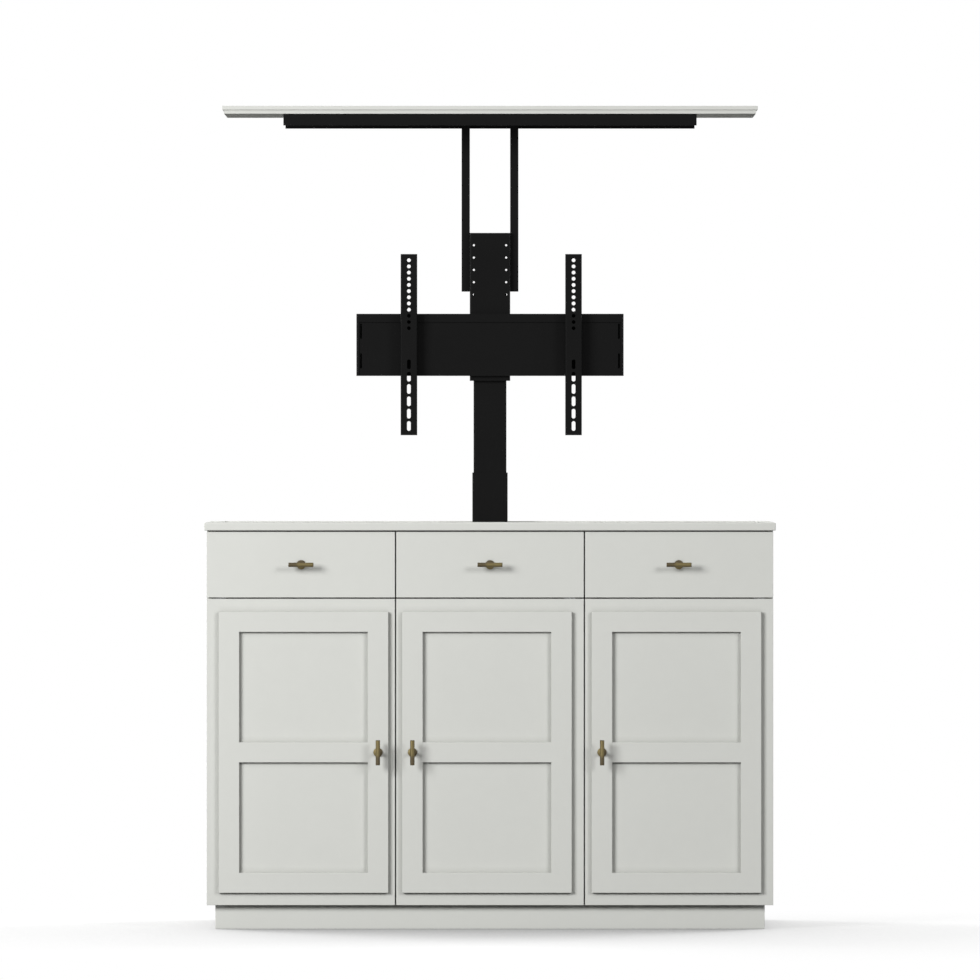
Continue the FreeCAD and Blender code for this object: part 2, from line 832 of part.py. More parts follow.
def square_tube(label, side, foot_z, reach):
    """Square tube with rounded corners, standing on the column's axis."""
    tube = body(label, 0, column_y, foot_z)
    outline = sketch(tube, "XY_Plane")
    for half in (side / 2, side / 2 - d.tube_wall):
        rectangle(outline, (-half, half), (-half, half))
    pad(tube, outline, reach)
    for half, radius in ((side / 2 - d.tube_wall, d.tube_round_inside), (side / 2, d.tube_round)):
        corner = half.number
        rounded(tube, radius, lambda edge: is_upright(edge) and abs(abs(edge.BoundBox.XMin) - corner) < 1e-6)
    node(tube, label)


def glide_strips(label, side, foot_z):
    """Four plastic strips near the foot of a tube, on which it slides in the tube around it."""
    half = side / 2
    across = half - d.glide_margin
    z = (foot_z + d.glide_lift, foot_z + d.glide_lift + d.glide_height)
    outside = half + d.glide_thick
    strips = [
        block((-across, across), (column_y - outside, column_y - half), z),
        block((-across, across), (column_y + half, column_y + outside), z),
        block((-outside, -half), (column_y - across, column_y + across), z),
        block((half, outside), (column_y - across, column_y + across), z),
    ]
    node(grouped(strips), label)


def column():
    """Base plate, four nested tubes, their glides and the bracket to the cabinet's back."""
    plate_y = (rear_y - d.plinth_board - d.base_plate_depth, rear_y - d.plinth_board)
    half = d.base_plate_width / 2
    node(block((-half, half), plate_y, (0, d.base_plate_thick)), "column_base_plate")
    foot = d.base_plate_thick
    square_tube("column_outer_tube", outer_side, foot, d.outer_tube_length)
    stages = (
        ("second_tube", second_side, d.second_tube_length),
        ("third_tube", third_side, d.third_tube_length),
        ("inner_tube", d.inner_tube_side, inner_top_z - inner_z),
    )
    for count, (label, side, reach) in enumerate(stages, start=1):
        stage_z = foot + d.tube_foot_gap * count + d.stage_stroke * count
        square_tube(label, side, stage_z, reach)
        glide_strips(f"{label}_glides", side, stage_z)

    width = d.wall_bracket_width / 2
    sheet = d.wall_bracket_sheet
    y = (column_y + outer_side / 2, back_y)
    z = (outer_top_z - d.wall_bracket_drop - d.wall_bracket_height, outer_top_z - d.wall_bracket_drop)
    shell = block((-width, width), y, z)
    hollow = block((-width + sheet, width - sheet), (y[0] + sheet, y[1] - sheet), (z[0] - 1, z[1] + 1))
    node(cut(shell, [hollow]), "column_wall_bracket")


def drive():
    """Gear motor beside the column, control box on the floor and mains inlet in the back."""
    gearbox_x = outer_side / 2
    gearbox_z = floor_z + d.gearbox_lift
    gearbox_top = gearbox_z + d.gearbox_height
    half_depth = d.gearbox_depth / 2
    gearbox = block((gearbox_x, gearbox_x + d.gearbox_length), (column_y - half_depth, column_y + half_depth),
                    (gearbox_z, gearbox_top))
    motor = rod("z", d.motor_radius, d.motor_length,
                (gearbox_x + d.gearbox_length / 2, column_y, gearbox_top))
    node(joined([gearbox, motor]), "lift_motor")

    centre = -d.control_place
    half = d.control_width / 2
    control_y = back_y - d.inlet_length - d.control_depth
    node(block((centre - half, centre + half), (control_y, control_y + d.control_depth),
               (floor_z, floor_z + d.control_height)), "control_box")

    half = d.inlet_width / 2
    high = d.inlet_height / 2
    rim = d.inlet_flange
    inlet_z = floor_z + d.inlet_level
    shell_y = rear_y - d.inlet_length
    flange_y = rear_y + d.inlet_flange_thick
    shell = block((centre - half, centre + half), (shell_y, rear_y), (inlet_z - high, inlet_z + high))
    flange = block((centre - half - rim, centre + half + rim), (rear_y, flange_y),
                   (inlet_z - high - rim, inlet_z + high + rim))
    wall = d.inlet_wall
    well = block((centre - half + wall, centre + half - wall), (flange_y - d.inlet_well, flange_y + 1),
                 (inlet_z - high + wall, inlet_z + high - wall))
    node(cut(joined([shell, flange]), [well]), "power_inlet")


# ---- lift head ----

def head_bracket():
    """Folded steel channel in front of the column, deep at the top and shallow below."""
    half = d.bracket_width / 2
    sheet = d.sheet_thick
    bracket = body("head_bracket", 0, bracket_y, bracket_z)
    outline = sketch(bracket, "XY_Plane")
    loop(outline, [(-half, 0), (half, 0), (half, d.bracket_flange), (half - sheet, d.bracket_flange),
                   (half - sheet, sheet), (-half + sheet, sheet), (-half + sheet, d.bracket_flange),
                   (-half, d.bracket_flange)])
    pad(bracket, outline, d.bracket_height)
    rounded(bracket, d.bracket_bend, lambda edge: is_upright(edge) and abs(edge.BoundBox.YMin) < 1e-6)
    toe = sketch(bracket, "YZ_Plane")
    rectangle(toe, (d.bracket_toe, d.bracket_flange + 1), (-1, d.bracket_height - d.bracket_deep_height))
    pocket(bracket, toe)
    holes = sketch(bracket, "XZ_Plane")
    lowest = d.bracket_height - d.bracket_hole_drop - d.bracket_hole_pitch * (BRACKET_HOLES - 1)
    for side in (-1, 1):
        circle(holes, d.bracket_hole_place * side, lowest, d.bracket_hole_radius)
    drilled = pocket(bracket, holes)
    repeat_up(bracket, drilled, holes, d.bracket_hole_pitch, BRACKET_HOLES)
    node(bracket, "head_bracket")


def bracket_spacer():
    """Block that stands the bracket off the inner tube."""
    half = d.spacer_width / 2
    top = inner_top_z - d.spacer_drop
    node(block((-half, half), (bracket_back_y, tube_front_y), (top - d.spacer_height, top)), "bracket_spacer")


def crossplate():
    """Folded pan with a raised rim at its top and ends, and two slots in front of each returned end."""
    half = d.crossplate_width / 2
    sheet = d.sheet_thick
    y = (crossplate_y, bracket_y)
    z = (crossplate_z, crossplate_top_z)
    plate = body("crossplate_blank", 0, 0, crossplate_z)
    outline = sketch(plate, "XY_Plane")
    rectangle(outline, (-half, half), y)
    pad(plate, outline, d.crossplate_height)
    rounded(plate, sheet * 2, lambda edge: is_upright(edge) and edge.BoundBox.YMin < y[0].number + 1e-6)
    rim = d.crossplate_rim
    lip_z = z[1] - d.crossplate_lip
    panel_y = y[0] + d.crossplate_recess
    open_half = half - d.crossplate_return
    hollow_z = (z[0] + sheet, z[1] - sheet)
    tools = [
        block((-half + rim, half - rim), (y[0] - 1, panel_y), (z[0] - 1, lip_z)),
        block((-half + rim, half - rim), (y[0], panel_y + d.lip_groove), (lip_z - d.lip_groove, lip_z)),
        block((-half + sheet, half - sheet), (panel_y + sheet, y[1] - sheet), hollow_z),
        block((-open_half, open_half), (y[1] - sheet - 1, y[1] + 1), hollow_z),
    ]
    middle = (z[0] + z[1]) / 2 - d.end_slot_drop
    for side in (-1, 1):
        centre = (half - d.end_slot_inset) * side
        x = (centre - d.end_slot_width / 2, centre + d.end_slot_width / 2)
        for step in (-1, 1):
            low = middle + d.end_slot_pitch / 2 * step - d.end_slot_height / 2
            tools.append(block(x, (y[0], panel_y + sheet + 1), (low, low + d.end_slot_height)))
    node(cut(plate, tools), "crossplate")


def television_arm(name, side):
    """Folded channel with a row of round holes above a row of slots, hooked over the crossplate."""
    half = d.arm_width / 2
    sheet = d.sheet_thick
    arm = body(f"{name}_tv_arm", d.arm_spacing / 2 * side + d.arms_shift, arm_y, arm_z)
    outline = sketch(arm, "XY_Plane")
    loop(outline, [(-half, 0), (half, 0), (half, d.arm_depth), (half - sheet, d.arm_depth),
                   (half - sheet, sheet), (-half + sheet, sheet), (-half + sheet, d.arm_depth),
                   (-half, d.arm_depth)])
    pad(arm, outline, d.arm_length)
    hook = sketch(arm, "YZ_Plane")
    hook_z = crossplate_top_z - arm_z
    rectangle(hook, (d.arm_depth - d.arm_hook_reach, d.arm_depth + d.arm_hook_reach),
              (hook_z, hook_z + d.arm_hook_height))
    pad(arm, hook, d.arm_width, symmetric=True)
    rounded(arm, sheet, lambda edge: is_upright(edge) and abs(edge.BoundBox.YMin) < 1e-6)

    holes = sketch(arm, "XZ_Plane")
    lowest = d.arm_length - d.arm_hole_drop - d.arm_hole_pitch * (ARM_HOLES - 1)
    circle(holes, 0, lowest, d.arm_hole_radius)
    drilled = pocket(arm, holes)
    repeat_up(arm, drilled, holes, d.arm_hole_pitch, ARM_HOLES)
    slots = sketch(arm, "XZ_Plane")
    upright_slot(slots, 0, d.arm_slot_lift, d.arm_hole_radius * 2, d.arm_slot_length)
    slotted = pocket(arm, slots)
    repeat_up(arm, slotted, slots, d.arm_slot_pitch, ARM_SLOTS)
    node(arm, f"{name}_tv_arm")


def lid_support():
    """Two square uprights on the bracket's sides, and the channel under the lid: a plate between two bars."""
    side = d.upright_side
    wall = d.upright_wall
    z = (bracket_top_z - d.upright_lap, channel_web_z)
    y = (tube_front_y, tube_front_y + side)
    foot_y = (y[0] - wall, y[1] + wall)
    uprights = []
    for hand in (-1, 1):
        centre = (d.bracket_width / 2 + side / 2) * hand
        shell = block((centre - side / 2, centre + side / 2), y, z)
        hollow = block((centre - side / 2 + wall, centre + side / 2 - wall), (y[0] + wall, y[1] - wall),
                       (z[0] - 1, z[1] + 1))
        foot = block((centre - d.upright_foot_width / 2, centre + d.upright_foot_width / 2), foot_y,
                     (z[1] - d.upright_foot_thick, z[1]))
        uprights.append(joined([cut(shell, [hollow]), foot]))
    node(grouped(uprights), "lid_uprights")

    x = (-d.channel_length / 2, d.channel_length / 2)
    front_y = (channel_y, channel_y + d.sheet_thick)
    behind_y = (channel_y + d.channel_depth - d.sheet_thick, channel_y + d.channel_depth)
    web = block(x, (front_y[1], behind_y[0]), (channel_web_z, lid_z))
    bores = [screw_bore(*at) for at in screw_places()]
    bars = [block(x, y, (channel_z, lid_z)) for y in (front_y, behind_y)]
    node(grouped([cut(web, bores)] + bars), "lid_channel")


def screw_places():
    """Places in X and Y of the screws that hold the lid on its channel."""
    ends = d.channel_length / 2 - d.screw_inset
    across = (channel_y + d.screw_inset, channel_y + d.channel_depth - d.screw_inset)
    return [(ends * share, y) for share in (-1, -0.4, 0.4, 1) for y in across]


def screw_bore(x, y):
    """The round hole that one lid screw fills."""
    return rod("z", d.screw_radius, d.screw_length, (x, y, channel_web_z))


def lid():
    """Lid of two boards, the lower one a little smaller, and the screws that hold it."""
    inset = d.lid_inset
    step_z = lid_top_z - d.lid_step
    upper = block((-lid_half, lid_half), (lid_y, lid_back_y), (step_z, lid_top_z))
    lower = block((-lid_half + inset, lid_half - inset), (lid_y + inset, lid_back_y - inset), (lid_z, step_z))
    bores = [screw_bore(*at) for at in screw_places()]
    node(cut(joined([upper, lower]), bores), "lid_panel")
    screws = []
    for x, y in screw_places():
        head = rod("z", d.screw_head_radius, d.screw_head_height, (x, y, channel_web_z - d.screw_head_height))
        screws.append(joined([head, screw_bore(x, y)]))
    node(grouped(screws), "lid_screws")


def check_and_write():
    """Recompute, refuse anything failed or empty, and write one STEP file for each sub-part."""
    doc.recompute()
    for item in doc.Objects:
        if {"Invalid", "Error"} & set(item.State):
            raise RuntimeError(f"{item.Name} is {item.State}")
    for item in nodes:
        if item.Shape.isNull() or not item.Shape.isValid() or not item.Shape.Solids:
            raise RuntimeError(f"{item.Label} has no valid solid")
    os.makedirs("parts", exist_ok=True)
    for item in nodes:
        item.Shape.exportStep(f"parts/{item.Label}.step")
    print(f"{len(nodes)} sub-parts, {sum(len(item.Shape.Solids) for item in nodes)} solids")


top_panel()
carcass_panels()
plinth()
shelves()
cabinet_hardware()
for bay in bay_walls:
    drawer(bay)
    door(bay)
column()
drive()
head_bracket()
bracket_spacer()
crossplate()
for name, side in SIDES:
    television_arm(name, side)
lid_support()
lid()
check_and_write()
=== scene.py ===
import json
import math

import bmesh
import bpy
from bpy.props import FloatProperty, FloatVectorProperty, PointerProperty
from bpy.types import Operator, Panel, PropertyGroup
from mathutils import Matrix, Vector


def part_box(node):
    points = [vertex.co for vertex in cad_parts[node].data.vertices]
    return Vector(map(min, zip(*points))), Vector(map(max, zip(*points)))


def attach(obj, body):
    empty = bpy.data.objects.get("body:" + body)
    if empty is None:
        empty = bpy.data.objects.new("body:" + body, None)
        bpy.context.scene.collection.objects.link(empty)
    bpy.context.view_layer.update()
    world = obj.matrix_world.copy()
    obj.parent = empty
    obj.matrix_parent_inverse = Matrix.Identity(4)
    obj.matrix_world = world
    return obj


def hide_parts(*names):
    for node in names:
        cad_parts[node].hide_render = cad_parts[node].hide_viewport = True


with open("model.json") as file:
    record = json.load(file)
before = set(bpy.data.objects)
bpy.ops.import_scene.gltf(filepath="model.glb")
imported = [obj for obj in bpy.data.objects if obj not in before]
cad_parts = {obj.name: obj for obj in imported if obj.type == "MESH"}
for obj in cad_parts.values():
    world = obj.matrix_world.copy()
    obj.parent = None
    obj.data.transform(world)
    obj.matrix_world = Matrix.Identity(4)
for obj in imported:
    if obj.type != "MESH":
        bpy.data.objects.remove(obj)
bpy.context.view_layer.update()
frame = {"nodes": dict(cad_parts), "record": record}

bl_info = {
    "name": "TV Lift Cabinet",
    "version": (1, 0, 0),
    "blender": (4, 5, 0),
    "location": "3D View > Sidebar > Lift Cabinet",
    "description": "Dresses a cabinet whose lid and television arms rise on a telescopic column",
    "category": "Object",
}

BAYS = ("left", "middle", "right")
X_AXIS, Y_AXIS, Z_AXIS = Vector((1, 0, 0)), Vector((0, 1, 0)), Vector((0, 0, 1))

# Lengths are in metres and angles in degrees.

# How far from a crease the painted shade reaches: within it the paint's colour is darkened to stand in
# for the shade in creases.
PAINTED_SHADE_REACH = 0.016
PLIES_PER_METRE = 714
# Attribute of the handles that paints light and shade into their colour, from 0 where they are painted
# light to 1 where they are painted dark.
HANDLE_LIGHT_AND_SHADE = "tarnish"

WELD_DISTANCE = 2e-6
PLANE_TOLERANCE = 1e-5
# Faces that meet at less than this are one flat face.
FLAT_ANGLE = 0.5
# Edges sharper than this are rounded, if they are longer than a number of times the rounding.
SQUARE_ANGLE, SHORTEST_SOFTENED = 60, 6
ARRIS_STEPS = 3
# Edges sharper than this stay sharp in the shading.
SMOOTH_ANGLE, BRASS_SMOOTH_ANGLE = 30, 40

SCREW_STEPS = 24
# How far a screw head stands out, as a share of its radius.
DOME_RISE, FLAT_RISE = 0.42, 0.25
# Height and radius along the dome of a screw head, as shares of the head's own.
SCREW_DOME = ((0, 1), (0.35, 0.98), (0.75, 0.8), (1, 0.46))
# Shares of the head's radius: how far the cross reaches, and half its width.
CROSS_REACH, CROSS_HALF = 0.42, 0.1
# Shares of the head's height and of the cross's size at the floor of the recess.
CROSS_FLOOR, CROSS_TAPER = 0.3, 0.8

# Azimuth and elevation, distance from the fronts, width and height, and whose power it takes.
LAMPS = {
    "key_lamp": ((-41.5, 17), 6.7, (2.9, 2.4), "key_power"),
    "fill_lamp": ((42.3, 18.5), 8.3, (2.2, 2.0), "fill_power"),
    "back_left_lamp": ((-125, 22), 8.0, (3.0, 1.2), "back_power"),
    "back_right_lamp": ((125, 22), 8.0, (3.0, 1.2), "back_power"),
    "overhead_lamp": ((180, 80), 6.0, (3.0, 3.0), "overhead_power"),
}
LAMP_TARGET_HEIGHT = 0.6

FLOOR_DROP = 0.0002
# The painted shadow on the floor, where its glow is dimmed near the cabinet, is worked out toward this
# direction and over this distance.
SHADOW_DIRECTION, SHADOW_REACH = (-0.1, 0.82, 0.56), 0.95
# Strongest glow of the floor, and how hidden a place is where its glow ends; the glow is painted light,
# and its dimming near the cabinet is painted shadow.
FLOOR_GLOW, GLOW_END = 0.59, 0.75
# Grey of the floor for the light that it throws back, and as the camera sees it.
FLOOR_THROWN, FLOOR_SEEN = (0.12, 0.12, 0.12, 1), (0.33, 0.33, 0.33, 1)
# Distances over which the floor turns plain white, behind the cabinet and all round it.
WHITE_BEHIND, WHITE_ROUND = (0.25, 0.65), (1.2, 1.9)
WHITE = (1, 1, 1, 1)
NO_LIGHT = (0, 0, 0, 1)

NODE_BODY = {
    node: body
    for body, members in frame["record"]["behaviour"]["bodies"].items()
    for node in members
}


# ---- sizes and colours that a user would change ----

def colour(name, description, default):
    return FloatVectorProperty(name=name, description=description, default=default, subtype="COLOR",
                               min=0, max=1)


def distance(name, description, default):
    return FloatProperty(name=name, description=description, default=default, min=0,
                         unit="LENGTH", subtype="DISTANCE")


def power(name, description, default):
    return FloatProperty(name=name, description=description, default=default, min=0, unit="POWER")


class CabinetColours(PropertyGroup):
    """Colours of the finishes."""

    paint: colour("Paint", "Paint on the fronts, the slab and the lid", (0.672, 0.679, 0.644))
    inside_paint: colour("Inside paint", "Paint inside the carcass and behind", (0.66, 0.655, 0.62))
    birch: colour("Birch", "Face of the plywood in the drawer boxes", (0.68, 0.53, 0.36))
    birch_ply: colour("Birch ply", "Darker layers that show on the plywood's edges", (0.42, 0.29, 0.17))
    # Brass also serves as the painted highlight on the handles, and patina as their painted shade.
    brass: colour("Brass", "Rubbed places on the handles", (0.160, 0.127, 0.052))
    patina_and_shade: colour("Patina", "Tarnished places on the handles", (0.069, 0.051, 0.022))
    black: colour("Black coat", "Powder coat on the lift", (0.0041, 0.0041, 0.0041))
    zinc: colour("Zinc", "Plating on runners, brackets and screws", (0.55, 0.56, 0.57))
    nylon: colour("Nylon", "Glides and hinge bushes", (0.35, 0.35, 0.34))
    plastic: colour("Plastic", "Control box and mains inlet", (0.02, 0.02, 0.021))
    enamel: colour("Enamel", "Gear motor", (0.10, 0.10, 0.105))


class CabinetSizes(PropertyGroup):
    """Sizes of the small details."""

    arris: distance("Arris", "Rounding on the edges of painted boards", 0.0009)
    frame_arris: distance("Frame arris", "Rounding on the edges of the planted door frames", 0.0006)
    board_arris: distance("Board arris", "Rounding on the edges of plywood boards", 0.0006)
    steel_arris: distance("Steel arris", "Rounding on the cut edges of steel", 0.0004)
    bar_radius: distance("Bar radius", "Radius of the handle bars", 0.00525)
    bar_chamfer: distance("Bar chamfer", "Chamfer on the ends of the handle bars", 0.0007)
    stem_radius: distance("Stem radius", "Radius of the handle stems", 0.004)
    rose_thickness: distance("Rose thickness", "Thickness of the handle roses", 0.003)
    motor_radius: distance("Motor radius", "Radius over the fins of the motor", 0.031)
    motor_length: distance("Motor length", "Length of the motor above its gear housing", 0.15)
    rose_round: distance("Rose rounding", "Rounding on the rim of the handle roses", 0.0011)
    screw_radius: distance("Screw head", "Radius of the screw heads", 0.0036)
    bracket_screw_radius: distance("Bracket screw head", "Radius on the pivot brackets", 0.003)
    screw_inset: distance("Screw inset", "From the edges of the back panel to its screws", 0.009)


class StudioSettings(PropertyGroup):
    """Camera, lamps and floor."""

    camera_distance: distance("Camera distance", "From the drawer fronts to the camera", 23.08)
    camera_height: distance("Camera height", "Height of the camera above the floor", 1.1564)
    lens: FloatProperty(name="Lens", description="Focal length in millimetres", default=353.7, min=1)
    horizon_shift: FloatProperty(name="Horizon shift", description="Vertical shift of the lens",
                                 default=-0.0439)
    key_power: power("Key lamp", "Soft lamp on the left", 408)
    fill_power: power("Fill lamp", "Soft lamp on the right", 221)
    back_power: power("Back lamps", "Two soft lamps behind, for the sides and the back", 480)
    overhead_power: power("Overhead lamp", "Soft lamp above, for the tops", 100)
    sky_strength: FloatProperty(name="Sky", description="Strength of the even light all round",
                                default=0.05, min=0)
    floor_size: distance("Floor", "Width of the floor", 60)


# ---- finishes ----

class Value:
    """A socket of a node tree. An expression on it adds Math nodes."""

    def __init__(self, nodes, socket):
        self.nodes = nodes
        self.socket = socket

    def maths(self, operation, first, second):
        """The result of one Math node."""
        return self.nodes.node("ShaderNodeMath", {"operation": operation}, {0: first, 1: second})

    def __add__(self, other):
        return self.maths("ADD", self, other)

    def __sub__(self, other):
        return self.maths("SUBTRACT", self, other)

    def __rsub__(self, other):
        return self.maths("SUBTRACT", other, self)

    def __mul__(self, other):
        return self.maths("MULTIPLY", self, other)

    __radd__ = __add__
    __rmul__ = __mul__

    def larger(self, other):
        """The larger of two values."""
        return self.maths("MAXIMUM", self, other)


class Nodes:
    """The node tree of a material or of the world, written as Python expressions."""

    def __init__(self, owner):
        owner.use_nodes = True
        self.tree = owner.node_tree
        self.tree.nodes.clear()

    def node(self, kind, settings=None, sockets=None, output=0):
        """Adds one node: its settings first, then the values and links of its sockets.

        Gives back the socket it puts out, or the node itself where it puts out none.
        """
        made = self.tree.nodes.new(kind)
        for name, setting in (settings or {}).items():
            setattr(made, name, setting)
        for name, value in (sockets or {}).items():
            self.put(made.inputs[name], value)
        return Value(self, made.outputs[output]) if made.outputs else made

    def put(self, socket, value):
        """Links a value to a socket, or sets the socket to a constant."""
        if isinstance(value, Value):
            self.tree.links.new(value.socket, socket)
        else:
            socket.default_value = value

    def limited(self, value, low, high, start=0.0, end=1.0):
        """A value carried from one range to another, and kept within it."""
        sockets = {0: value, 1: low, 2: high, 3: start, 4: end}
        return self.node("ShaderNodeMapRange", {"clamp": True}, sockets)

    def seen(self, *kinds):
        """Above 0 for rays from the camera and for rays of these kinds, and 0 for the rest."""
        camera = self.node("ShaderNodeLightPath", output="Is Camera Ray")
        return sum((Value(self, camera.socket.node.outputs[kind]) for kind in kinds), camera)


class Finish(Nodes):
    """A material with one main shader."""

    def __init__(self, name):
        self.material = bpy.data.materials.new(name)
        super().__init__(self.material)
        self.shader = self.node("ShaderNodeBsdfPrincipled")
        self.output = self.node("ShaderNodeOutputMaterial", None, {"Surface": self.shader})

    def cover(self, share, surface):
        """Lays another surface over the finish by a share of 0 to 1."""
        over = self.node("ShaderNodeMixShader", None, {0: share, 1: self.shader, 2: surface})
        self.put(self.output.inputs["Surface"], over)

    def set(self, **values):
        """Sets sockets of the shader, written with _ for a space."""
        for name, value in values.items():
            self.put(self.shader.socket.node.inputs[name.replace("_", " ")], value)

    def place(self, stretch=(1, 1, 1)):
        """Coordinates in metres in the object's frame, each axis multiplied."""
        sockets = {"Vector": self.node("ShaderNodeTexCoord", output="Object"), "Scale": stretch}
        return self.node("ShaderNodeMapping", {"vector_type": "POINT"}, sockets)

    def noise(self, scale, detail=2.0, roughness=0.5, stretch=(1, 1, 1), distortion=0.0):
        """Cloudy values from 0 to 1, with features about 1/scale metres across."""
        sockets = {"Vector": self.place(stretch), "Scale": scale, "Detail": detail,
                   "Roughness": roughness, "Distortion": distortion}
        return self.node("ShaderNodeTexNoise", {"noise_dimensions": "3D"}, sockets)

    def mix(self, share, first, second):
        """A colour between two others."""
        made = {"Factor": share, 6: first, 7: second}
        return self.node("ShaderNodeMix", {"data_type": "RGBA"}, made, output=2)

    def bump(self, height, reach, strength=1.0):
        """Relief of a real height in metres."""
        sockets = {"Height": height, "Distance": reach, "Strength": strength}
        self.set(Normal=self.node("ShaderNodeBump", None, sockets))


def shade(base, factor):
    """A colour made lighter or darker, with alpha."""
    return (*[min(1.0, part * factor) for part in base], 1.0)


def painted(name, base, crease_shade=0.25):
    """Matt sprayed paint: faint clouding, an uneven sheen, fine orange peel and painted shade darkening
    the creases.
    """
    finish = Finish(name)
    clouds = finish.noise(2.5, detail=3) * 0.6 + finish.noise(38, detail=4) * 0.4
    tone = finish.mix(finish.limited(clouds, 0.3, 0.7), shade(base, 0.985), shade(base, 1.015))
    # Painted shade: where the occlusion finds faces close by, the paint's colour is darkened by a
    # share, standing in for the shade in creases and corners.
    reach = {"Distance": PAINTED_SHADE_REACH}
    clear = finish.node("ShaderNodeAmbientOcclusion", {"samples": 8}, reach, output="AO")
    finish.set(Base_Color=finish.mix(finish.limited(clear, 0.5, 1.0), shade(base, 1 - crease_shade), tone))
    finish.set(Roughness=finish.limited(finish.noise(60, detail=3), 0.25, 0.75, 0.75, 0.85))
    finish.set(Specular_IOR_Level=0.05)
    peel = finish.noise(620, detail=2) + finish.noise(90, detail=1) * 0.6
    finish.bump(peel, reach=0.00005, strength=0.5)
    return finish.material


def wood(name, base, dark, along):
    """Lacquered birch with its grain along one axis."""
    finish = Finish(name)
    stretch = [1.0, 1.0, 1.0]
    stretch[along] = 0.07
    broad = finish.noise(14, detail=3, stretch=stretch, distortion=1.2)
    fibre = finish.noise(240, detail=4, roughness=0.6, stretch=stretch)
    flecks = finish.limited(finish.noise(520, detail=1, stretch=stretch), 0.62, 0.75)
    tone = finish.limited(broad * 0.65 + fibre * 0.35, 0.32, 0.68)
    face = finish.mix(tone, shade(base, 0.86), shade(base, 1.1))
    finish.set(Base_Color=finish.mix(flecks * 0.35, face, shade(dark, 1.0)))
    finish.set(Roughness=finish.limited(fibre, 0.3, 0.7, 0.38, 0.5))
    finish.bump(fibre + flecks * -0.8, reach=0.00006, strength=0.6)
    return finish.material


def ply_edge(name, base, dark, across):
    """Edge of the plywood: light and dark layers stacked along one axis."""
    finish = Finish(name)
    depth = finish.node("ShaderNodeSeparateXYZ", None, {0: finish.place()}, output=across)
    wavy = depth * PLIES_PER_METRE + finish.noise(30, detail=2) * 0.35
    layer = wavy.maths("PINGPONG", wavy, 1.0)
    fibre = finish.noise(380, detail=3)
    share = finish.limited(layer, 0.35, 0.65) * 0.75 + fibre * 0.2
    finish.set(Base_Color=finish.mix(share, shade(base, 0.95), shade(dark, 1.1)))
    finish.set(Roughness=finish.limited(fibre, 0.3, 0.7, 0.5, 0.65))
    finish.bump(layer + fibre, reach=0.00008, strength=0.6)
    return finish.material


def aged_brass(name, base, patina_and_shade):
    """Brass with painted light and shade: the piece says how dark each place is, and blotches break
    that up.
    """
    finish = Finish(name)
    tarnish = finish.node("ShaderNodeAttribute", {"attribute_name": HANDLE_LIGHT_AND_SHADE}, output="Fac")
    blotch = finish.noise(110, detail=4, roughness=0.62, distortion=0.6)
    speck = finish.noise(620, detail=3)
    uneven = (blotch - 0.5) * 0.7 + (speck - 0.5) * 0.35
    # Painted light and shade from the piece, broken up by blotches of patina: 1 is lit, rubbed brass
    # and 0 is patina in painted shade.
    lit_and_rubbed = finish.limited(tarnish + uneven, 0.12, 0.88, 1.0, 0.0)
    finish.set(Base_Color=finish.mix(lit_and_rubbed, shade(patina_and_shade, 1.0), shade(base, 1.0)))
    finish.set(Metallic=finish.limited(lit_and_rubbed, 0.0, 1.0, 0.35, 0.8))
    finish.set(Roughness=finish.limited(lit_and_rubbed, 0.0, 1.0, 0.62, 0.48))
    finish.bump(speck + finish.noise(1500, detail=1) * 0.4, reach=0.00004, strength=0.7)
    return finish.material


def powder_coat(name, base, sheen):
    """Fine textured powder coat."""
    finish = Finish(name)
    pimples = finish.noise(1100, detail=2)
    clouds = finish.noise(9, detail=3)
    tone = finish.limited(clouds, 0.3, 0.7)
    finish.set(Base_Color=finish.mix(tone, shade(base, 0.9), shade(base, 1.1)))
    mottle = pimples * 0.5 + clouds * 0.5
    finish.set(Roughness=finish.limited(mottle, 0.3, 0.7, sheen - 0.05, sheen + 0.05))
    finish.set(Specular_IOR_Level=0.06)
    finish.bump(pimples, reach=0.00008, strength=0.6)
    return finish.material


def zinc_plate(name, base):
    """Bright zinc: small crystals of uneven tone and faint drawn lines."""
    finish = Finish(name)
    sockets = {"Vector": finish.place(), "Scale": 420.0, "Randomness": 1.0}
    crystal = finish.node("ShaderNodeTexVoronoi", {"feature": "F1"}, sockets)
    drawn = finish.noise(900, detail=2, stretch=(0.05, 1, 1))
    tone = finish.limited(crystal, 0.0, 0.8)
    finish.set(Base_Color=finish.mix(tone, shade(base, 1.12), shade(base, 0.86)))
    finish.set(Metallic=1.0)
    finish.set(Roughness=finish.limited(drawn * 0.6 + crystal * 0.4, 0.2, 0.8, 0.26, 0.42))
    finish.bump(drawn, reach=0.00002, strength=0.5)
    return finish.material


def moulded(name, base, sheen):
    """Moulded plastic with a fine spark-eroded grain."""
    finish = Finish(name)
    grain = finish.noise(1300, detail=3, roughness=0.6)
    clouds = finish.noise(25, detail=2)
    tone = finish.limited(clouds * 0.5 + grain * 0.5, 0.3, 0.7)
    finish.set(Base_Color=finish.mix(tone, shade(base, 0.9), shade(base, 1.12)))
    finish.set(Roughness=finish.limited(grain, 0.3, 0.7, sheen - 0.06, sheen + 0.06))
    finish.bump(grain, reach=0.00006, strength=0.6)
    return finish.material


FINISHES = {}


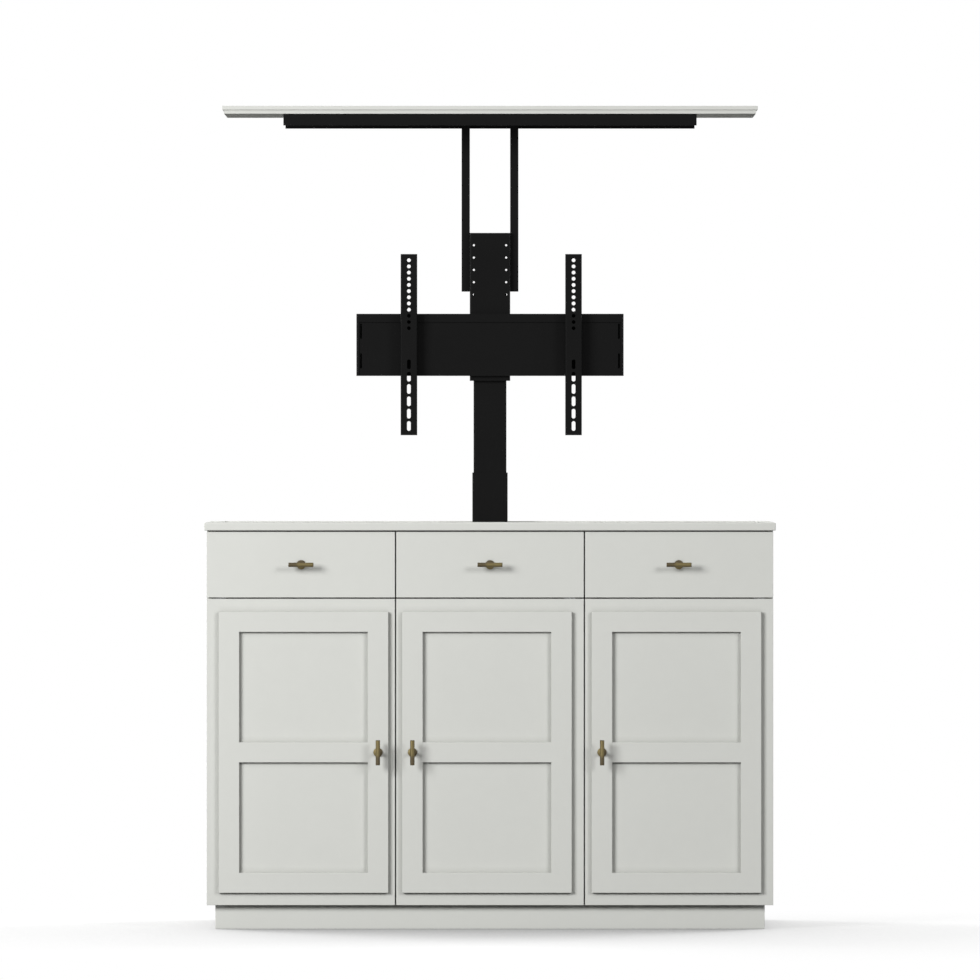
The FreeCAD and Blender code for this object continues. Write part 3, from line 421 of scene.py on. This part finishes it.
def finish_of(slot):
    """The material of a slot, made when it is first asked for."""
    if slot not in FINISHES:
        c = bpy.context.scene.cabinet_colours
        makers = {
            "painted_front": lambda: painted(slot, c.paint),
            "painted_plinth": lambda: painted(slot, c.paint, crease_shade=0.03),
            "painted_inside": lambda: painted(slot, c.inside_paint),
            "drawer_birch": lambda: wood(slot, c.birch, c.birch_ply, 0),
            "drawer_birch_depth": lambda: wood(slot, c.birch, c.birch_ply, 1),
            "birch_ply_x": lambda: ply_edge(slot, c.birch, c.birch_ply, 0),
            "birch_ply_y": lambda: ply_edge(slot, c.birch, c.birch_ply, 1),
            "birch_ply_z": lambda: ply_edge(slot, c.birch, c.birch_ply, 2),
            "aged_brass": lambda: aged_brass(slot, c.brass, c.patina_and_shade),
            "black_steel": lambda: powder_coat(slot, c.black, 0.55),
            "zinc_steel": lambda: zinc_plate(slot, c.zinc),
            "grey_nylon": lambda: moulded(slot, c.nylon, 0.5),
            "black_plastic": lambda: moulded(slot, c.plastic, 0.48),
            "motor_grey": lambda: powder_coat(slot, c.enamel, 0.4),
        }
        FINISHES[slot] = makers[slot]()
    return FINISHES[slot]


# ---- mesh helpers ----

def dress(node, slot):
    """Gives a CAD node its finish."""
    item = frame["nodes"][node]
    item.data.materials.clear()
    item.data.materials.append(finish_of(slot))


def piece(name, mesh, body, slots, smooth_angle=None):
    """Turns a bmesh into a piece that rides a body and wears the finishes of its slots."""
    data = bpy.data.meshes.new(name)
    bmesh.ops.recalc_face_normals(mesh, faces=mesh.faces)
    mesh.to_mesh(data)
    mesh.free()
    for slot in slots:
        data.materials.append(finish_of(slot))
    if smooth_angle is not None:
        data.shade_smooth()
        data.set_sharp_from_angle(angle=math.radians(smooth_angle))
    made = bpy.data.objects.new(name, data)
    bpy.context.scene.collection.objects.link(made)
    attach(made, body)
    return made


def groups(items, neighbours):
    """Sorts items into lists that hang together through their neighbours."""
    seen = set()
    for start in items:
        found, heap = [], [start]
        while heap:
            item = heap.pop()
            if item not in seen:
                seen.add(item)
                found.append(item)
                heap += neighbours(item)
        if found:
            yield found


def add_faces(mesh, faces):
    """Copies faces of another bmesh with corners of their own, and gives back those corners."""
    own = {}
    for face in faces:
        for vert in face.verts:
            if vert not in own:
                own[vert] = mesh.verts.new(vert.co)
        mesh.faces.new([own[vert] for vert in face.verts])
    return list(own.values())


def cad_mesh(node):
    """A bmesh of a node with whole flat faces, where solids that touch share no corner."""
    welded = bmesh.new()
    welded.from_mesh(frame["nodes"][node].data)
    bmesh.ops.remove_doubles(welded, verts=welded.verts, dist=WELD_DISTANCE)

    def across_edges(face):
        """Faces of the same solid, where an edge joins just two."""
        edges = [edge for edge in face.edges if len(edge.link_faces) == 2]
        return [other for edge in edges for other in edge.link_faces]

    made = bmesh.new()
    for solid in groups(welded.faces, across_edges):
        add_faces(made, solid)
    welded.free()
    bmesh.ops.dissolve_limit(made, angle_limit=math.radians(FLAT_ANGLE), verts=made.verts,
                             edges=made.edges)
    return made


def islands(mesh):
    """The separate solids of a bmesh, each as a list of its corners."""
    return groups(mesh.verts, lambda vert: [edge.other_vert(vert) for edge in vert.link_edges])


def span(verts):
    """Lowest and highest corner of some points."""
    places = [vert.co for vert in verts]
    low, high = ([pick(place[axis] for place in places) for axis in range(3)] for pick in (min, max))
    return Vector(low), Vector(high)


def round_edges(mesh, edges, arris, clamp):
    """Gives edges a round of a few faces, held back where edges are close if clamp says so."""
    bmesh.ops.bevel(mesh, geom=edges, offset=arris, offset_type="OFFSET", segments=ARRIS_STEPS,
                    profile=0.5, affect="EDGES", clamp_overlap=clamp)


def box(mesh, low, high, arris=0.0, turn=None):
    """Adds a box, turned or with rounded edges if asked, and gives back its corners.

    It is made apart, because what is added to a mesh after a bevel falls in a different order on
    each run.
    """
    made = bmesh.new()
    bmesh.ops.create_cube(made, size=1)
    for vert in made.verts:
        vert.co = Vector(least + (most - least) * (place + 0.5)
                         for least, most, place in zip(Vector(low), Vector(high), vert.co))
    if turn:
        bmesh.ops.transform(made, matrix=turn, verts=made.verts)
    if arris:
        round_edges(made, made.edges[:], arris, True)
    corners = add_faces(mesh, made.faces)
    made.free()
    return corners


def recess(mesh, corners, outward, rim, depth):
    """Sinks the face of a square box that looks outward, inside a rim.

    The walls are made one by one, because an extrusion makes them in a different order on each run.
    """
    faces = {face for vert in corners for face in vert.link_faces}
    chosen = max(faces, key=lambda face: face.calc_center_median().dot(outward))
    chosen.normal_update()
    bmesh.ops.inset_region(mesh, faces=[chosen], thickness=rim)
    lip = list(chosen.verts)
    mesh.faces.remove(chosen)
    sunk = [mesh.verts.new(vert.co - outward * depth) for vert in lip]
    for step in range(len(lip)):
        mesh.faces.new((lip[step - 1], lip[step], sunk[step], sunk[step - 1]))
    mesh.faces.new(sunk)


def soften(mesh, arris, skip=None):
    """Rounds the long square outer edges of a bmesh."""
    chosen = []
    for edge in mesh.edges:
        outer = len(edge.link_faces) == 2 and edge.is_convex
        if not outer or edge.calc_length() < arris * SHORTEST_SOFTENED:
            continue
        if edge.calc_face_angle() < math.radians(SQUARE_ANGLE) or (skip and skip(edge)):
            continue
        chosen.append(edge)
    round_edges(mesh, chosen, arris, False)
    return mesh


def soft_node(node, slot, arris, skip=None):
    """Replaces a CAD node by its own shape with the square edges rounded."""
    made = piece(f"{node}_soft", soften(cad_mesh(node), arris, skip), NODE_BODY[node], [slot])
    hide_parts(node)
    return made


def turned(mesh, profile, base, axis, steps=48):
    """Adds a turned solid and gives back its corners, ring by ring.

    The profile gives (distance along the axis, radius) from one end to the other.
    """
    side = axis.orthogonal().normalized()
    other = axis.cross(side)
    turns = [math.tau * step / steps for step in range(steps)]
    rings = []
    for along, radius in profile:
        centre = base + axis * along
        if radius == 0:
            rings.append([mesh.verts.new(centre)])
            continue
        ring = [centre + side * (radius * math.cos(t)) + other * (radius * math.sin(t)) for t in turns]
        rings.append([mesh.verts.new(point) for point in ring])
    for first, second in zip(rings, rings[1:]):
        for step in range(steps):
            after = (step + 1) % steps
            if len(first) == 1:
                mesh.faces.new((first[0], second[step], second[after]))
            elif len(second) == 1:
                mesh.faces.new((first[step], second[0], first[after]))
            else:
                mesh.faces.new((first[step], second[step], second[after], first[after]))
    return [vert for ring in rings for vert in ring]


def screw(mesh, head, outward, radius, rise=DOME_RISE):
    """Adds a domed screw head with a cross recess, standing out by a share of its radius."""
    side = outward.orthogonal().normalized()
    other = outward.cross(side)
    height = radius * rise
    dome = [(0, 0)] + [(height * up, radius * out) for up, out in SCREW_DOME]
    rim = turned(mesh, dome, head, outward, SCREW_STEPS)[-SCREW_STEPS:]
    arm, slit = radius * CROSS_REACH, radius * CROSS_HALF
    outline = [(arm, slit), (slit, slit), (slit, arm), (-slit, arm), (-slit, slit), (-arm, slit),
               (-arm, -slit), (-slit, -slit), (-slit, -arm), (slit, -arm), (slit, -slit), (arm, -slit)]
    top = head + outward * height
    floor = head + outward * (height * CROSS_FLOOR)
    upper = [mesh.verts.new(top + side * u + other * v) for u, v in outline]
    lower = [mesh.verts.new(floor + side * (u * CROSS_TAPER) + other * (v * CROSS_TAPER))
             for u, v in outline]
    count = len(outline)
    for step in range(count):
        after = (step + 1) % count
        mesh.faces.new((upper[step], upper[after], lower[after], lower[step]))
    mesh.faces.new(lower)
    edges = []
    for ring in (rim, upper):
        for first, second in zip(ring, ring[1:] + ring[:1]):
            edges.append(mesh.edges.get((first, second)) or mesh.edges.new((first, second)))
    bmesh.ops.triangle_fill(mesh, use_beauty=True, edges=edges)


# ---- pieces ----

def at_plane(axis, value):
    """A test for edges that lie wholly in a plane."""
    return lambda edge: all(abs(vert.co[axis] - value) < PLANE_TOLERANCE for vert in edge.verts)


class LIFTCABINET_OT_carcass(Operator):
    """Softens and paints the slab, the sides, the plinth and the boards inside"""

    bl_idname = "lift_cabinet.carcass"
    bl_label = "Carcass"

    def execute(self, context):
        sizes = context.scene.cabinet_sizes
        for node in ("top_panel", "left_side_panel", "right_side_panel"):
            soft_node(node, "painted_front", sizes.arris)
        plinth = soft_node("plinth_front", "painted_front", sizes.arris)
        # The plinth's paint has only a faint painted shade in its creases.
        plinth.data.materials[0] = finish_of("painted_plinth")
        for node in ("bottom_panel", "left_divider", "right_divider", "bay_partition", "carcass_rails",
                     "plinth_rails", "back_panel", "shelves"):
            soft_node(node, "painted_inside", sizes.board_arris)
        dress("shelf_pins", "zinc_steel")
        self.back_screws(sizes.screw_radius, sizes.screw_inset)
        return {"FINISHED"}

    def back_screws(self, radius, inset):
        """Screws round the edge of the back panel: seven spaces along it and five up it."""
        low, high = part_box("back_panel")
        mesh = bmesh.new()
        along, up = 7, 5
        for step in range(along + 1):
            x = low.x + inset + (high.x - low.x - inset * 2) * step / along
            for z in (low.z + inset, high.z - inset):
                screw(mesh, Vector((x, high.y, z)), Y_AXIS, radius)
        for step in range(1, up):
            z = low.z + inset + (high.z - low.z - inset * 2) * step / up
            for x in (low.x + inset, high.x - inset):
                screw(mesh, Vector((x, high.y, z)), Y_AXIS, radius)
        piece("back_panel_screws", mesh, "cabinet", ["zinc_steel"], SMOOTH_ANGLE)


class LIFTCABINET_OT_drawers(Operator):
    """Paints the drawer fronts, shows ply and grain on the boxes and plates the runners"""

    bl_idname = "lift_cabinet.drawers"
    bl_label = "Drawers"

    def execute(self, context):
        sizes = context.scene.cabinet_sizes
        for bay in BAYS:
            soft_node(f"{bay}_drawer_front", "painted_front", sizes.arris)
            self.boards(f"{bay}_drawer_box", sizes.board_arris)
            dress(f"{bay}_drawer_runners", "zinc_steel")
        dress("drawer_outer_runners", "zinc_steel")
        return {"FINISHED"}

    def boards(self, node, arris):
        """Boards with grain on their faces and layers on their edges."""
        slots = ["drawer_birch", "drawer_birch_depth", "birch_ply_x", "birch_ply_y", "birch_ply_z"]
        mesh = cad_mesh(node)
        for board in islands(mesh):
            low, high = span(board)
            sides = list(high - low)
            thin = sides.index(min(sides))
            grain = "drawer_birch_depth" if sides[1] > sides[0] else "drawer_birch"
            layers = "birch_ply_" + "xyz"[thin]
            for face in {face for vert in board for face in vert.link_faces}:
                facing = max(range(3), key=lambda axis: abs(face.normal[axis]))
                face.material_index = slots.index(grain if facing == thin else layers)
        soften(mesh, arris)
        made = piece(f"{node}_soft", mesh, NODE_BODY[node], slots)
        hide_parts(node)


class LIFTCABINET_OT_doors(Operator):
    """Softens and paints the door leaves and their planted frames, and dresses the pivot hinges"""

    bl_idname = "lift_cabinet.doors"
    bl_label = "Doors"

    def execute(self, context):
        sizes = context.scene.cabinet_sizes
        for bay in BAYS:
            soft_node(f"{bay}_door_leaf", "painted_front", sizes.arris)
            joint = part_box(f"{bay}_door_frame")[1].y
            soft_node(f"{bay}_door_frame", "painted_front", sizes.frame_arris, at_plane(1, joint))
            dress(f"{bay}_door_bushes", "grey_nylon")
        dress("pivot_brackets", "zinc_steel")
        self.bracket_screws(sizes.bracket_screw_radius)
        return {"FINISHED"}

    def bracket_screws(self, radius):
        """Two flat screws in the plate of each pivot bracket."""
        source = cad_mesh("pivot_brackets")
        mesh = bmesh.new()
        for bracket in islands(source):
            back = span(bracket)[1].y
            rear = [vert for vert in bracket if abs(vert.co.y - back) < PLANE_TOLERANCE]
            low, high = span(rear)
            front = max(vert.co.y for vert in bracket if vert not in rear)
            for share in (0.25, 0.75):
                head = Vector((low.x + (high.x - low.x) * share, front, (low.z + high.z) / 2))
                screw(mesh, head, -Y_AXIS, radius, FLAT_RISE)
        source.free()
        piece("pivot_bracket_screws", mesh, "cabinet", ["zinc_steel"], SMOOTH_ANGLE)


class LIFTCABINET_OT_handles(Operator):
    """Turns the bar, stem and rose of each handle in aged brass, with painted light and shade"""

    bl_idname = "lift_cabinet.handles"
    bl_label = "Handles"

    def execute(self, context):
        sizes = context.scene.cabinet_sizes
        for bay in BAYS:
            self.handle(f"{bay}_drawer_handle", X_AXIS, sizes)
            self.handle(f"{bay}_door_handle", Z_AXIS, sizes)
        return {"FINISHED"}

    def handle(self, node, along, sizes):
        """Bar with chamfered ends, a stem with small fillets and a rounded rose."""
        low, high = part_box(node)
        centre = (low + high) / 2
        length = (high - low).dot(along)
        across = X_AXIS if along == Z_AXIS else Z_AXIS
        rose = (high - low).dot(across) / 2
        bar_centre = Vector((centre.x, low.y + sizes.bar_radius, centre.z))
        surface = Vector((centre.x, high.y, centre.z))
        mesh = bmesh.new()
        layer = mesh.verts.layers.float.new(HANDLE_LIGHT_AND_SHADE)
        start = bar_centre - along * (length / 2)
        # The bar is painted dark at one end and at its rims, standing in for shade.
        for vert in turned(mesh, self.bar_line(length, sizes), start, along):
            vert[layer] = self.bar_light_and_shade((vert.co - start).dot(along) / length)
        rose_line = self.rose_line(rose, surface.y - bar_centre.y, sizes)
        for vert in turned(mesh, rose_line, surface, -Y_AXIS):
            # Painted highlight and shade on the rose: one side is painted light and the other dark.
            off_centre = (vert.co - surface).dot(across) / rose
            vert[layer] = 0.6 + 0.35 * max(-1, min(1, off_centre * 2))
        made = piece(f"{node}_turned", mesh, NODE_BODY[node], ["aged_brass"], BRASS_SMOOTH_ANGLE)
        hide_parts(node)

    @staticmethod
    def bar_line(length, sizes):
        """Profile of the bar, with rings along it that carry the tarnish."""
        radius, chamfer, rings = sizes.bar_radius, sizes.bar_chamfer, 24
        end = [(0, 0), (0, radius - chamfer), (chamfer * 0.35, radius - chamfer * 0.3),
               (chamfer, radius)]
        middle = [(length * step / rings, radius) for step in range(1, rings)]
        return end + middle + [(length - place, radius) for place, radius in reversed(end)]

    @staticmethod
    def rose_line(rose, stand, sizes):
        """Profile of the rose and the stem, from the door or drawer into the bar."""
        bar, stem, fillet = sizes.bar_radius, sizes.stem_radius, 0.0012
        thick, rim = sizes.rose_thickness, sizes.rose_round
        return [(0, 0), (0, rose), (thick - rim, rose), (thick - rim * 0.3, rose - rim * 0.3),
                (thick, rose - rim), (thick, stem + fillet), (thick + fillet / 3, stem + fillet / 3),
                (thick + fillet, stem), (stand - bar - fillet, stem),
                (stand - bar * 0.55, stem + fillet / 2), (stand - bar * 0.3, 0)]

    def bar_light_and_shade(self, place):
        """Painted shade at a share of the bar's length: dark at one end, light beyond, and dark rims.
        """
        dark = 0.92 - 0.62 * self.eased(place, 0.26, 0.42)
        rims = 1 - self.eased(min(place, 1 - place), 0.02, 0.05)
        return max(dark, rims)

    @staticmethod
    def eased(value, low, high):
        """0 up to low, 1 from high, and a smooth rise between them."""
        share = max(0.0, min(1.0, (value - low) / (high - low)))
        return share * share * (3 - 2 * share)


class LIFTCABINET_OT_column(Operator):
    """Coats the tubes, the base plate and the wall bracket, and dresses the glides"""

    bl_idname = "lift_cabinet.column"
    bl_label = "Column"

    def execute(self, context):
        for node in ("column_outer_tube", "second_tube", "third_tube", "inner_tube",
                     "column_wall_bracket"):
            dress(node, "black_steel")
        soft_node("column_base_plate", "black_steel", context.scene.cabinet_sizes.steel_arris)
        for stage in ("second", "third", "inner"):
            dress(f"{stage}_tube_glides", "grey_nylon")
        return {"FINISHED"}


class LIFTCABINET_OT_drive(Operator):
    """Makes the finned motor, the control box and the pins of the mains inlet"""

    bl_idname = "lift_cabinet.drive"
    bl_label = "Drive"

    def execute(self, context):
        self.motor(context.scene.cabinet_sizes)
        self.control_box()
        self.inlet()
        return {"FINISHED"}

    def motor(self, sizes):
        """Split gear housing with four screws, and a finned motor with a cap."""
        node = "lift_motor"
        low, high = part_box(node)
        top = high.z - sizes.motor_length
        mesh = bmesh.new()
        inset, corner = 0.0012, 0.003
        housing_high = Vector((high.x - inset, high.y - inset, top))
        box(mesh, low + Vector((0, inset, inset)), housing_high, corner)
        seam, half, behind, edge = (low.z + top) / 2, 0.003, 0.0002, 0.0008
        box(mesh, (low.x + behind, low.y, seam - half), (high.x, high.y, seam + half), edge)
        centre = Vector(((low.x + high.x) / 2, (low.y + high.y) / 2, top))
        self.finned_can(mesh, centre, sizes.motor_radius, sizes.motor_length)
        made = piece(f"{node}_housing", mesh, NODE_BODY[node], ["motor_grey"], SMOOTH_ANGLE)
        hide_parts(node)
        heads = bmesh.new()
        screw_inset = 0.0075
        for x in (low.x + screw_inset, high.x - screw_inset):
            for y in (low.y + screw_inset, high.y - screw_inset):
                screw(heads, Vector((x, y, top)), Z_AXIS, sizes.screw_radius)
        piece(f"{node}_screws", heads, NODE_BODY[node], ["zinc_steel"], SMOOTH_ANGLE)

    def finned_can(self, mesh, centre, radius, length):
        """Turned can with a flange below and a dished cap above, and fins between them."""
        can = radius - 0.002
        flange, cap = 0.010, length - 0.038
        rim, dish = length - 0.007, length - 0.0015
        line = [(0, 0), (0, radius), (flange - 0.001, radius), (flange, can), (cap, can),
                (cap + 0.001, radius - 0.0006), (cap + 0.0015, radius), (rim, radius),
                (length - 0.0025, radius - 0.0015), (length - 0.0003, radius - 0.006),
                (length, radius - 0.010), (length, 0.009), (dish, 0.008), (dish, 0)]
        turned(mesh, line, centre, Z_AXIS, 64)
        fins, thick_half, sunk = 24, 0.0008, 0.001
        low = (can - sunk, -thick_half, flange - 0.0005)
        high = (radius - 0.0001, thick_half, cap + 0.0005)
        for step in range(fins):
            turn = Matrix.Translation(centre) @ Matrix.Rotation(math.tau * step / fins, 4, "Z")
            box(mesh, low, high, turn=turn)

    def control_box(self):
        """Two half shells with a seam, raised louvres on the top and a row of sockets in front."""
        node = "control_box"
        low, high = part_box(node)
        mesh = bmesh.new()
        seam, gap, corner = low.z + (high.z - low.z) * 0.42, 0.0005, 0.002
        lid = high.z - 0.0012
        box(mesh, low, (high.x, high.y, seam - gap), corner)
        inset, lap = 0.001, gap + 0.003
        box(mesh, (low.x + inset, low.y + inset, seam - lap),
            (high.x - inset, high.y - inset, seam + lap))
        box(mesh, (low.x, low.y, seam + gap), (high.x, high.y, lid), corner)
        louvres, first, pitch, half, margin = 9, 0.035, 0.010, 0.0028, 0.016
        for step in range(louvres):
            x = low.x + first + step * pitch
            box(mesh, (x - half, low.y + margin, lid - 0.001), (x + half, high.y - margin, high.z),
                0.0005)
        made = piece(f"{node}_case", mesh, NODE_BODY[node], ["black_plastic"], SMOOTH_ANGLE)
        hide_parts(node)
        sockets = bmesh.new()
        middle, tall_half, proud, sunk = (low.z + seam) / 2, 0.005, 0.0008, 0.0005
        rim, depth = 0.0011, 0.0007
        for place, width in ((0.022, 0.013), (0.047, 0.013), (0.072, 0.013), (0.102, 0.020)):
            x = low.x + place
            corners = box(sockets, (x, low.y - proud, middle - tall_half),
                          (x + width, low.y + sunk, middle + tall_half))
            recess(sockets, corners, -Y_AXIS, rim, depth)
        piece(f"{node}_sockets", sockets, NODE_BODY[node], ["grey_nylon"], SMOOTH_ANGLE)

    def inlet(self):
        """Rimmed inlet with three flat pins in its well and a screw at each end."""
        node = "power_inlet"
        soft_node(node, "black_plastic", 0.0006)
        low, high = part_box(node)
        centre = (low + high) / 2
        pins = bmesh.new()
        well_floor = high.y - 0.018
        half, sunk, length, tall_half, arris = 0.001, 0.0005, 0.0135, 0.0025, 0.0004
        below, above = Vector((half, sunk, tall_half)), Vector((half, length, tall_half))
        for x, z in ((-0.007, -0.002), (0.007, -0.002), (0, 0.004)):
            foot = Vector((centre.x + x, well_floor, centre.z + z))
            box(pins, foot - below, foot + above, arris)
        screw_place, screw_radius = 0.027, 0.0024
        for side in (-1, 1):
            head = Vector((centre.x + side * screw_place, high.y, centre.z))
            screw(pins, head, Y_AXIS, screw_radius, FLAT_RISE)
        piece(f"{node}_pins", pins, NODE_BODY[node], ["zinc_steel"], SMOOTH_ANGLE)


class LIFTCABINET_OT_lift_head(Operator):
    """Coats the head bracket, the spacer, the crossplate and the television arms"""

    bl_idname = "lift_cabinet.lift_head"
    bl_label = "Lift head"

    def execute(self, context):
        for node in ("head_bracket", "crossplate", "left_tv_arm", "right_tv_arm"):
            dress(node, "black_steel")
        soft_node("bracket_spacer", "black_steel", context.scene.cabinet_sizes.steel_arris)
        return {"FINISHED"}


class LIFTCABINET_OT_lid(Operator):
    """Softens and paints the lid, and dresses its channel, uprights and screws"""

    bl_idname = "lift_cabinet.lid"
    bl_label = "Lid"

    def execute(self, context):
        sizes = context.scene.cabinet_sizes
        soft_node("lid_panel", "painted_front", sizes.arris)
        soft_node("lid_channel", "black_steel", sizes.steel_arris)
        soft_node("lid_uprights", "black_steel", sizes.steel_arris)
        dress("lid_screws", "zinc_steel")
        return {"FINISHED"}


# ---- stage ----

class LIFTCABINET_OT_studio(Operator):
    """Makes the floor, the lamps, the even light and the camera"""

    bl_idname = "lift_cabinet.studio"
    bl_label = "Studio"

    def execute(self, context):
        studio = context.scene.cabinet_studio
        self.floor(studio)
        for name, (turn, away, size, power) in LAMPS.items():
            self.lamp(name, turn, away, size, getattr(studio, power))
        self.sky(context.scene, studio)
        self.camera(context.scene, studio)
        context.scene.view_settings.view_transform = "Standard"
        return {"FINISHED"}

    def floor(self, studio):
        """Plain floor a little below the plinth."""
        half = studio.floor_size / 2
        mesh = bmesh.new()
        signs = ((-1, -1), (1, -1), (1, 1), (-1, 1))
        mesh.faces.new([mesh.verts.new((x * half, y * half, -FLOOR_DROP)) for x, y in signs])
        data = bpy.data.meshes.new("studio_floor")
        mesh.to_mesh(data)
        mesh.free()
        made = bpy.data.objects.new("studio_floor", data)
        bpy.context.scene.collection.objects.link(made)
        data.materials.append(self.floor_surface())

    def floor_surface(self):
        """White floor: the lamps cast shadows on it, a glow dimmed near the cabinet paints a soft
        shadow round it, and it is plain white farther off.
        """
        surface = Finish("studio_floor")
        seen = surface.limited(surface.seen("Is Glossy Ray", "Is Transmission Ray"), 0.0, 1.0)
        direction = surface.node("ShaderNodeCombineXYZ", None, dict(enumerate(SHADOW_DIRECTION)))
        sockets = {"Distance": SHADOW_REACH, "Normal": direction}
        # Painted shadow: the floor's glow is dimmed where the occlusion finds the cabinet close by.
        hidden = 1 - surface.node("ShaderNodeAmbientOcclusion", {"samples": 12}, sockets, output="AO")
        glow = surface.limited(hidden * hidden, 0.0, GLOW_END, FLOOR_GLOW, 0.0)
        surface.set(Base_Color=surface.mix(seen, FLOOR_THROWN, FLOOR_SEEN), Roughness=1.0,
                    Specular_IOR_Level=0.0, Emission_Strength=1.0)
        surface.set(Emission_Color=surface.mix(glow * seen, NO_LIGHT, WHITE))
        spot = {0: surface.place()}
        back = surface.node("ShaderNodeSeparateXYZ", None, spot, output="Y")
        length = surface.node("ShaderNodeVectorMath", {"operation": "LENGTH"}, spot, output="Value")
        far = surface.limited(back, *WHITE_BEHIND).larger(surface.limited(length, *WHITE_ROUND))
        glowing = {"Color": WHITE, "Strength": 1.0}
        white = surface.node("ShaderNodeEmission", None, glowing, output="Emission")
        surface.cover(far * seen, white)
        return surface.material

    def lamp(self, name, turn, away, size, power):
        """Soft rectangular lamp at an azimuth and an elevation in degrees, aimed at the fronts."""
        data = bpy.data.lights.new(name, "AREA")
        data.shape = "RECTANGLE"
        data.size, data.size_y = size
        data.energy = power
        made = bpy.data.objects.new(name, data)
        bpy.context.scene.collection.objects.link(made)
        azimuth, elevation = (math.radians(part) for part in turn)
        level = math.cos(elevation)
        toward = Vector((math.sin(azimuth) * level, -math.cos(azimuth) * level, math.sin(elevation)))
        centre = Vector((0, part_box("middle_drawer_front")[0].y, LAMP_TARGET_HEIGHT))
        aim = toward.to_track_quat("Z", "Y").to_matrix().to_4x4()
        made.matrix_world = Matrix.Translation(centre + toward * away) @ aim

    def sky(self, scene, studio):
        """Even light all round, seen as white by the camera and in reflections."""
        world = bpy.data.worlds.new("studio_sky")
        scene.world = world
        sky = Nodes(world)
        strength = sky.limited(sky.seen("Is Glossy Ray"), 0.0, 1.0, studio.sky_strength, 1.0)
        background = sky.node("ShaderNodeBackground", None, {"Color": WHITE, "Strength": strength})
        sky.node("ShaderNodeOutputWorld", None, {"Surface": background})

    def camera(self, scene, studio):
        """Level camera in front of the cabinet."""
        data = bpy.data.cameras.new("studio_camera")
        data.lens = studio.lens
        data.sensor_width = 36
        data.shift_y = studio.horizon_shift
        data.clip_end = 200
        made = bpy.data.objects.new("studio_camera", data)
        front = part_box("middle_drawer_front")[0].y
        made.location = (0, front - studio.camera_distance, studio.camera_height)
        made.rotation_euler = (math.pi / 2, 0, 0)
        scene.collection.objects.link(made)
        scene.camera = made


class LIFTCABINET_PT_sidebar(Panel):
    """Lists the steps that dress the cabinet"""

    bl_idname = "LIFTCABINET_PT_sidebar"
    bl_label = "Lift Cabinet"
    bl_space_type = "VIEW_3D"
    bl_region_type = "UI"
    bl_category = "Lift Cabinet"

    def draw(self, context):
        for group in GROUPS:
            settings = getattr(context.scene, group)
            for name in settings.__annotations__:
                self.layout.prop(settings, name)
        for step in STEPS:
            self.layout.operator(step.bl_idname)


GROUPS = {
    "cabinet_colours": CabinetColours,
    "cabinet_sizes": CabinetSizes,
    "cabinet_studio": StudioSettings,
}
STEPS = (
    LIFTCABINET_OT_carcass,
    LIFTCABINET_OT_drawers,
    LIFTCABINET_OT_doors,
    LIFTCABINET_OT_handles,
    LIFTCABINET_OT_column,
    LIFTCABINET_OT_drive,
    LIFTCABINET_OT_lift_head,
    LIFTCABINET_OT_lid,
    LIFTCABINET_OT_studio,
)


def register():
    for kind in (*GROUPS.values(), *STEPS, LIFTCABINET_PT_sidebar):
        bpy.utils.register_class(kind)
    for name, kind in GROUPS.items():
        setattr(bpy.types.Scene, name, PointerProperty(type=kind))


def unregister():
    for name in GROUPS:
        delattr(bpy.types.Scene, name)
    for kind in reversed((*GROUPS.values(), *STEPS, LIFTCABINET_PT_sidebar)):
        bpy.utils.unregister_class(kind)


def main():
    register()
    for step in STEPS:
        family, name = step.bl_idname.split(".")
        getattr(getattr(bpy.ops, family), name)()


if __name__ == "__main__":
    main()
